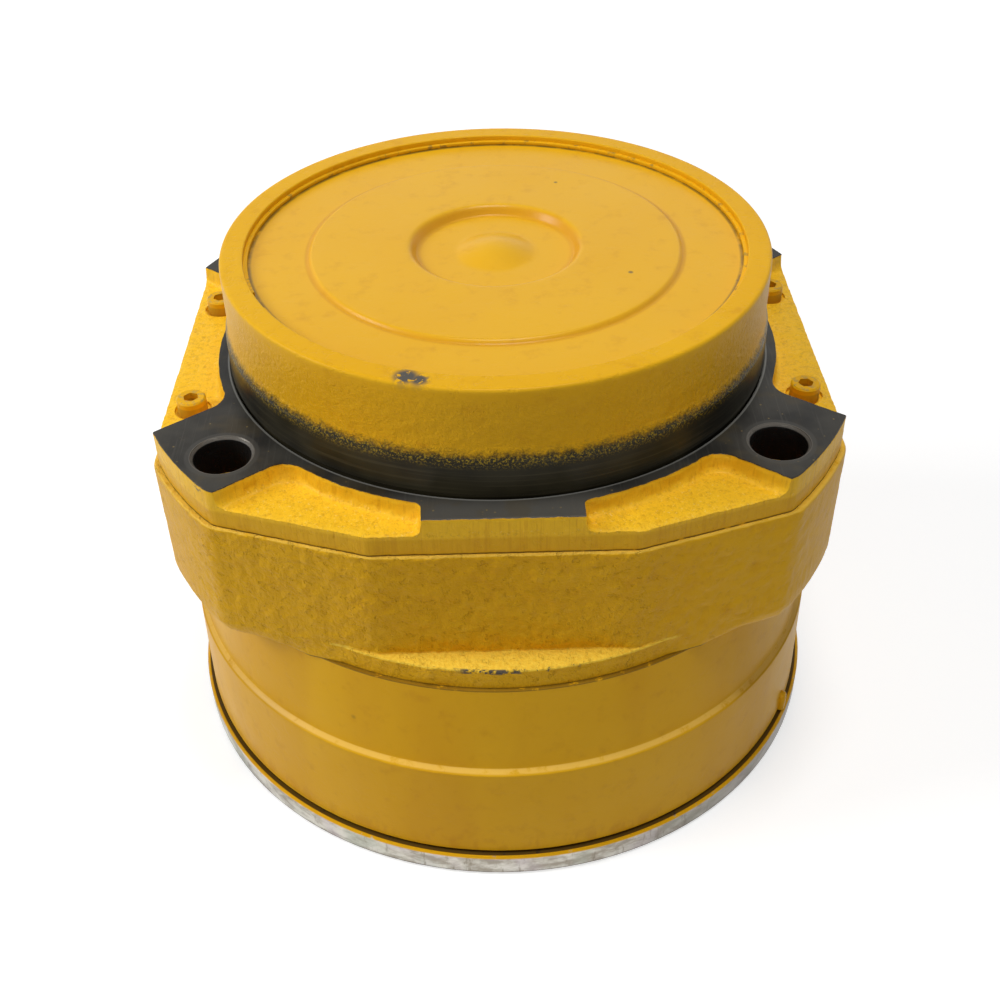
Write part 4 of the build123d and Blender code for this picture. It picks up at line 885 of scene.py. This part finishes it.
ear_section = [(0, 170.0), (EAR_HOLE_R, 170.0), (EAR_HOLE_R, 189.8), (18.2, 196.0), (0, 196.0)]
first_cut = joined([pocket_cutter(wall) for wall in pocket_walls]
                   + [hole_cutter(x, y, ear_section) for x, y in EAR_HOLES])
SCREW_X, SCREW_Y, SCREW_SEAT = 135.5, 43.7, 181.5
spot_section = [(0, SCREW_SEAT), (8.0, SCREW_SEAT), (8.3, 185.0), (0, 185.0)]
second_cut = joined([hole_cutter(x, y, spot_section) for x, y in four_places(SCREW_X, SCREW_Y)])
plate_verts, plate_faces = cut(slab, slab_faces, [first_cut, second_cut])

# %% [markdown]
# ## Black lands, painted pockets
# The paint went on before the last cut of the mill, or was wiped off after it: the lands are bare, dark and
# satin, everything under them is yellow. One material does both. Height above the pocket floor is the mask, so
# the border lies exactly on the milled edge, with a little paint creeping over it.

# %% Plate finish
def plate_finish():
    paint = enamel("plate_enamel_and_lands", 0.15)
    lumps = paint.noise(6, 5, 0.65, shift=(5, 3, 2))
    # painted light: from 181 to 190.2 mm high, the pockets and the upper side band get a paler yellow, lighter on
    # the lumps' tops
    pocket_painted_light = paint.z.above(181.0, 1.0) * paint.z.below(190.2, 0.4)
    paint.lay((0.97, 0.57, 0.020), pocket_painted_light * (0.7 + lumps.above(0.5, 0.2) * 0.3))
    root = paint.z.band(181.5, 184.4, 0.8) * paint.noise(2.0, 4, 0.7, shift=(1, 1, 1)).above(0.58, 0.06)
    paint.lay((0.52, 0.25, 0.01), root * 0.4)
    # painted highlights: small bright yellow glints on the pocket floors and the roots of their walls
    bright = paint.z.band(181.5, 184.8, 0.8) * paint.noise(1.4, 4, 0.7, shift=(7, 2, 4)).above(0.63, 0.04)
    paint.lay((1.0, 0.76, 0.22), bright * 0.5)
    upright = paint.noise(2.0, 4, 0.7, stretch=(1, 1, 0.04), shift=(2, 2, 2))
    on_side = paint.z.band(174, 189.5, 1.0)
    paint.lay(ENAMEL_PALE, upright.above(0.56, 0.06) * on_side * 0.35)
    paint.lay(ENAMEL_DEEP, upright.below(0.42, 0.06) * on_side * 0.35)
    seam = paint.z.below(PLATE_LOW + 0.7, 0.35) * paint.noise(5, 3, 0.6).above(0.35, 0.1)
    paint.lay((0.06, 0.035, 0.01), seam * 0.85)
    chip_rims = 0.0
    for centre, size in (((-143.8, -69.0, 190), 3.2), ((119.5, -101.5, 190), 3.0), ((-120.8, -106.5, 190), 3.4),
                         ((126, -101, 190), 2.0), ((-99, -112.5, 190.5), 2.2), ((60, -131, 190.5), 2.0)):
        chip_rims = paint.spot(centre, size, 1.0).math("MAXIMUM", chip_rims)
    chipped = chip_rims * paint.noise(2.0, 3, 0.6).above(0.46, 0.05) * paint.z.below(190.9, 0.15)
    paint.lay(BARE_IRON, chipped)
    creep = (paint.noise(3.0, 3, 0.6, shift=(3, 9, 3)) - 0.5) * 0.9
    bare = (paint.z + creep).above(PLATE_TOP - 0.45, 0.12)
    cloudy = paint.noise(26, 3, 0.55, shift=(2, 4, 6))
    land = paint.blend((0.018, 0.017, 0.015), (0.046, 0.043, 0.036), cloudy.above(0.48, 0.18))
    # painted sheen: the black land is lighter along its front edge
    land = paint.blend(land, (0.105, 0.10, 0.088), paint.y.below(-122, 9) * 0.8)
    lay = paint.noise(1.1, 3, 0.6, stretch=(1, 0.03, 1), shift=(0, 0, 4))
    land = paint.blend(land, (0.10, 0.094, 0.08), lay.above(0.62, 0.06) * 0.2)
    # painted reflection: cloudy yellow-brown patches on the black land stand for reflections of the yellow enamel
    painted_brown_reflection = paint.noise(15, 2, 0.5, shift=(8, 1, 1)).above(0.60, 0.08)
    land = paint.blend(land, (0.085, 0.062, 0.025), painted_brown_reflection * 0.3)
    flecks = paint.specks(1.6, 0.02, (1, 4, 4))
    land = paint.blend(land, (0.38, 0.27, 0.08), flecks * 0.5)
    paint.lay(land, bare)
    bore = 0.0
    for x, y in EAR_HOLES:
        away = paint.vector("DISTANCE", [paint.flat, (x, y, 0.0)], "Value")
        ring = away.band(11.0, 15.4, 0.5) * paint.z.above(190.75, 0.1)
        paint.lay((0.060, 0.057, 0.050), ring * 0.6)
        chamfer = away.band(11.6, 13.5, 0.12)
        paint.lay((0.11, 0.10, 0.085), chamfer * paint.z.above(189.5, 0.2))
        bore = away.below(12.3, 0.1).math("MAXIMUM", bore)
    paint.lay((0.010, 0.009, 0.008), bore * paint.z.below(189.9, 0.2))
    neck = paint.radius.below(123.3, 0.1)
    paint.lay((0.02, 0.017, 0.012), neck)
    # painted highlight: a light grey line on the land round the neck, along the joint with the cap
    lip = paint.radius.band(122.6, 123.9, 0.2) * paint.z.above(190.45, 0.1)
    paint.lay((0.24, 0.235, 0.21), lip * 0.75)
    metal = bare * 0.30
    rough = paint.number(0.46, 0.36, bare) + (cloudy - 0.5) * 0.18
    bump = (enamel_skin(paint, 1.2) + lumps * 1.0 + upright * on_side * 0.9) * (1 - bare) + lay * bare * 0.12
    return paint.surface(rough, metal, bump, 0.34, (1 - bare) * 0.03, 0.25, 0.16)


piece("ear_plate", plate_verts, plate_faces, plate_finish(), "housing", ["flange_plate"], crease=34)

# %% [markdown]
# ## Four socket screws by Geometry Nodes
# The screws repeat, so one node tree makes them: a grid of four points, a head with a hexagon socket cut into it
# on each, every head turned by its own random angle from a fixed seed. Sizes are the tree's named inputs. The
# tree ends in Realize Instances and Set Material, and its result is then made a plain mesh.

# %% Screw finish
def screw_finish():
    paint = enamel("screw_enamel", 0.4)
    worn = paint.z.above(189.0, 0.3) * paint.noise(2.4, 3, 0.6).above(0.55, 0.08)
    paint.lay((0.30, 0.24, 0.12), worn * 0.5)
    deep = paint.z.below(186.6, 0.5)
    paint.lay((0.30, 0.17, 0.03), deep * 0.45)
    return paint.surface(0.42, 0.0, enamel_skin(paint, 1.2), 0.16)


# %% The node tree of the screws
screw_enamel = screw_finish()
screw_tree = bpy.data.node_groups.new("socket_screws", "GeometryNodeTree")
screw_inputs = []
for label, value in (("Head radius", 0.0065), ("Head height", 0.008), ("Socket radius", 0.00346),
                     ("Socket depth", 0.004), ("Spacing X", 2 * SCREW_X / 1000), ("Spacing Y", 2 * SCREW_Y / 1000),
                     ("Seat level", SCREW_SEAT / 1000), ("Seed", 7)):
    kind = "NodeSocketInt" if isinstance(value, int) else "NodeSocketFloat"
    socket = screw_tree.interface.new_socket(label, in_out="INPUT", socket_type=kind)
    screw_inputs.append((socket.identifier, value))
screw_tree.interface.new_socket("Geometry", in_out="OUTPUT", socket_type="NodeSocketGeometry")


def screw_node(kind, settings, sockets):
    return add_node(screw_tree, kind, settings, sockets)


def screw_number(operation, first, second):
    return screw_node("ShaderNodeMath", {"operation": operation}, [first, second]).outputs[0]


def raised(geometry, level):
    place = screw_node("ShaderNodeCombineXYZ", {}, {"Z": level}).outputs[0]
    return screw_node("GeometryNodeTransform", {}, {"Geometry": geometry, "Translation": place}).outputs[0]


size = screw_node("NodeGroupInput", {}, {}).outputs
CROWN_EDGE = 0.0007
body_height = screw_number("SUBTRACT", size["Head height"], CROWN_EDGE)
body = screw_node("GeometryNodeMeshCylinder", {}, {
    "Vertices": 48, "Radius": size["Head radius"], "Depth": body_height})
body = raised(body.outputs["Mesh"], screw_number("MULTIPLY", body_height, 0.5))
top_radius = screw_number("SUBTRACT", size["Head radius"], CROWN_EDGE)
crown = screw_node("GeometryNodeMeshCone", {}, {
    "Vertices": 48, "Radius Top": top_radius, "Radius Bottom": size["Head radius"], "Depth": CROWN_EDGE})
crown = raised(crown.outputs["Mesh"], body_height)
both = screw_node("GeometryNodeMeshBoolean", {"operation": "UNION"}, {})
for solid in (body, crown):
    screw_tree.links.new(solid, both.inputs["Mesh 2"])
hexagon = screw_node("GeometryNodeMeshCylinder", {}, {
    "Vertices": 6, "Radius": size["Socket radius"], "Depth": screw_number("MULTIPLY", size["Socket depth"], 2.0)})
hexagon = raised(hexagon.outputs["Mesh"], size["Head height"])
socketed = screw_node("GeometryNodeMeshBoolean", {"operation": "DIFFERENCE"}, {"Mesh 1": both.outputs[0]})
screw_tree.links.new(hexagon, socketed.inputs["Mesh 2"])
grid = screw_node("GeometryNodeMeshGrid", {}, {
    "Size X": size["Spacing X"], "Size Y": size["Spacing Y"], "Vertices X": 2, "Vertices Y": 2})
spin = screw_node("FunctionNodeRandomValue", {"data_type": "FLOAT"}, {"Seed": size["Seed"], 3: pi / 3})
turned = screw_node("ShaderNodeCombineXYZ", {}, {"Z": spin.outputs[1]}).outputs[0]
seats = raised(grid.outputs["Mesh"], size["Seat level"])
placed = screw_node("GeometryNodeInstanceOnPoints", {}, {
    "Points": seats, "Instance": socketed.outputs[0], "Rotation": turned})
real = screw_node("GeometryNodeRealizeInstances", {}, {"Geometry": placed.outputs[0]})
dressed = screw_node("GeometryNodeSetMaterial", {}, {"Geometry": real.outputs[0], "Material": screw_enamel})
screw_node("NodeGroupOutput", {}, {0: dressed.outputs[0]})

# %% From the tree to a plain mesh
carrier = bpy.data.objects.new("screw_carrier", bpy.data.meshes.new("empty"))
bpy.context.collection.objects.link(carrier)
screws = carrier.modifiers.new("screws", "NODES")
screws.node_group = screw_tree
for identifier, value in screw_inputs:
    screws[identifier] = value
seen = carrier.evaluated_get(bpy.context.evaluated_depsgraph_get())
verts, faces = in_millimetres(bpy.data.meshes.new_from_object(seen))
carrier.modifiers.clear()
bpy.data.objects.remove(carrier)
piece("plate_socket_screws", verts, faces, screw_enamel, "housing", ["plate_screws"], crease=30)

# %% [markdown]
# ## What is inside
# Bearings, pistons, cam ring, brake discs and seals don't show in this view, but whoever takes the model apart
# sees them, so each gets a plain finish of its own: ground steel, brown rubber, cast iron, bronze cages.

# %% Finishes of the inner pieces
def inner_finish(name, light, dark, roughness, metallic, grain):
    inner = Finish(name)
    tone = inner.noise(grain, 3, 0.6)
    fine = inner.noise(grain / 8, 2, 0.6)
    inner.colour = inner.blend(light, dark, tone.above(0.5, 0.2))
    return inner.surface(roughness + (fine - 0.5) * 0.2, metallic, fine, 0.03)


INNER = {
    "ground_steel": (((0.56, 0.55, 0.53), (0.42, 0.41, 0.39), 0.22, 1.0, 12), (
        "cam_ring", "cam_dowels", "pistons", "piston_rollers", "lower_bearing_cup", "lower_bearing_cone",
        "lower_bearing_rollers", "upper_bearing_cup", "upper_bearing_cone", "upper_bearing_rollers",
        "steel_discs", "brake_piston")),
    "turned_steel": (((0.45, 0.43, 0.40), (0.30, 0.28, 0.26), 0.38, 1.0, 9), (
        "bearing_nut", "lock_ring", "brake_shaft", "spring_stop_ring", "hub_seal_ring", "housing_seal_ring")),
    "black_steel": (((0.05, 0.05, 0.05), (0.02, 0.02, 0.02), 0.45, 0.6, 8), ("body_bolts",)),
    "spring_steel": (((0.26, 0.27, 0.30), (0.14, 0.14, 0.16), 0.34, 1.0, 10), ("distributor_spring",)),
    "grey_iron": (((0.22, 0.22, 0.21), (0.13, 0.13, 0.12), 0.55, 0.8, 6), ("cylinder_block", "flow_distributor")),
    "cage_steel": (((0.50, 0.40, 0.22), (0.36, 0.27, 0.13), 0.42, 1.0, 7), (
        "lower_bearing_cage", "upper_bearing_cage")),
    "black_rubber": (((0.020, 0.020, 0.020), (0.032, 0.030, 0.028), 0.62, 0.0, 5), (
        "hub_seal_rubber", "housing_seal_rubber", "housing_o_ring", "brake_o_ring", "piston_seals")),
    "seal_plastic": (((0.12, 0.30, 0.34), (0.08, 0.22, 0.26), 0.5, 0.0, 5), ("distributor_seals",)),
    "disc_lining": (((0.20, 0.13, 0.08), (0.12, 0.08, 0.05), 0.75, 0.0, 3), ("friction_discs",)),
}
for name, (look, nodes) in INNER.items():
    material = inner_finish(name, *look)
    for node in nodes:
        data = frame["nodes"][node].data
        data.materials.clear()
        data.materials.append(material)

# %% [markdown]
# ## The brake's disc spring
# One spring of the brake is pressed flatter by 2 mm when oil pressure lifts the brake piston. A rigid mesh would
# stick into the piston at that pose; a copy of the spring, with a mesh of its own, stands for it.

# %% Spring of the brake, as a copy with its own mesh
spring_finish = bpy.data.materials["spring_steel"]
spring = smooth_copy("brake_spring", "brake_disc_spring", spring_finish, "housing")
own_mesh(spring)

# %% Every node has a finish
hidden = {name for made in bpy.data.objects for name in made.get("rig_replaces", [])}
bare = set(frame["nodes"]) - hidden - {node for look, nodes in INNER.values() for node in nodes}
print("nodes with no finish of their own:", sorted(bare))

# %% [markdown]
# ## Floor, light and background
# Product photographs like this one are taken on white paper under large soft lamps. The floor and the world are
# white to the camera and to reflections, and the floor still takes the object's soft shadow. Its glow grows away
# from the object, because the lamps reach less far than the paper does. The lamps stay at a plain level, at which
# a colour renders about as it was written.

# %% Studio
floor_data = bpy.data.meshes.new("floor")
FLOOR_LEVEL = -0.0003
floor_corners = [(x, y, FLOOR_LEVEL) for x, y in ((-6, -6), (6, -6), (6, 6), (-6, 6))]
floor_data.from_pydata(floor_corners, [], [(0, 1, 2, 3)])
floor = bpy.data.objects.new("floor", floor_data)
bpy.context.collection.objects.link(floor)


def seen_by(tree, kinds):
    """1 for rays of these kinds and 0 for all others, in a material's or the world's tree."""
    rays = add_node(tree, "ShaderNodeLightPath", {}, {})
    share = rays.outputs[kinds[0]]
    for kind in kinds[1:]:
        share = add_node(tree, "ShaderNodeMath", {"operation": "MAXIMUM"}, [share, rays.outputs[kind]]).outputs[0]
    return share


WHITE = (1.0, 1.0, 1.0, 1.0)
paper = bpy.data.materials.new("white_paper")
paper.use_nodes = True
tree = paper.node_tree
tree.nodes.clear()
matt = add_node(tree, "ShaderNodeBsdfDiffuse", {}, {"Color": (0.66, 0.66, 0.66, 1)})
place = add_node(tree, "ShaderNodeTexCoord", {}, {}).outputs["Object"]
away = add_node(tree, "ShaderNodeVectorMath", {"operation": "LENGTH"}, [place]).outputs["Value"]
whiter = add_node(tree, "ShaderNodeMapRange", {}, {
    "Value": away, "From Min": 0.4, "From Max": 2.0, "To Min": 0.56, "To Max": 1.0}).outputs["Result"]
share = seen_by(tree, ("Is Camera Ray", "Is Glossy Ray"))
strength = add_node(tree, "ShaderNodeMath", {"operation": "MULTIPLY"}, [share, whiter]).outputs[0]
glow = add_node(tree, "ShaderNodeEmission", {}, {"Strength": strength})
together = add_node(tree, "ShaderNodeAddShader", {}, [matt.outputs[0], glow.outputs[0]])
add_node(tree, "ShaderNodeOutputMaterial", {}, [together.outputs[0]])
floor_data.materials.append(paper)

world = bpy.data.worlds.new("studio")
bpy.context.scene.world = world
world.use_nodes = True
tree = world.node_tree
tree.nodes.clear()
soft = add_node(tree, "ShaderNodeBackground", {}, {"Color": WHITE, "Strength": 0.18})
white = add_node(tree, "ShaderNodeBackground", {}, {"Color": WHITE, "Strength": 1.0})
share = seen_by(tree, ("Is Camera Ray", "Is Glossy Ray", "Is Transmission Ray"))
mixed = add_node(tree, "ShaderNodeMixShader", {}, [share, soft.outputs[0], white.outputs[0]])
add_node(tree, "ShaderNodeOutputWorld", {}, [mixed.outputs[0]])


def soft_lamp(name, place, aim, size, watts):
    data = bpy.data.lights.new(name, "AREA")
    data.size = size
    data.energy = watts
    lamp = bpy.data.objects.new(name, data)
    lamp.location = place
    lamp.rotation_euler = (Vector(aim) - Vector(place)).to_track_quat("-Z", "Y").to_euler()
    bpy.context.collection.objects.link(lamp)


soft_lamp("key_left", (-1.6, -0.1, 1.25), (0, 0, 0.12), 0.7, 17)
soft_lamp("top", (0.1, -0.15, 1.9), (0, 0, 0.15), 0.5, 15.5)
soft_lamp("fill_front", (-0.5, -1.9, 0.7), (0, 0, 0.12), 1.2, 3.3)
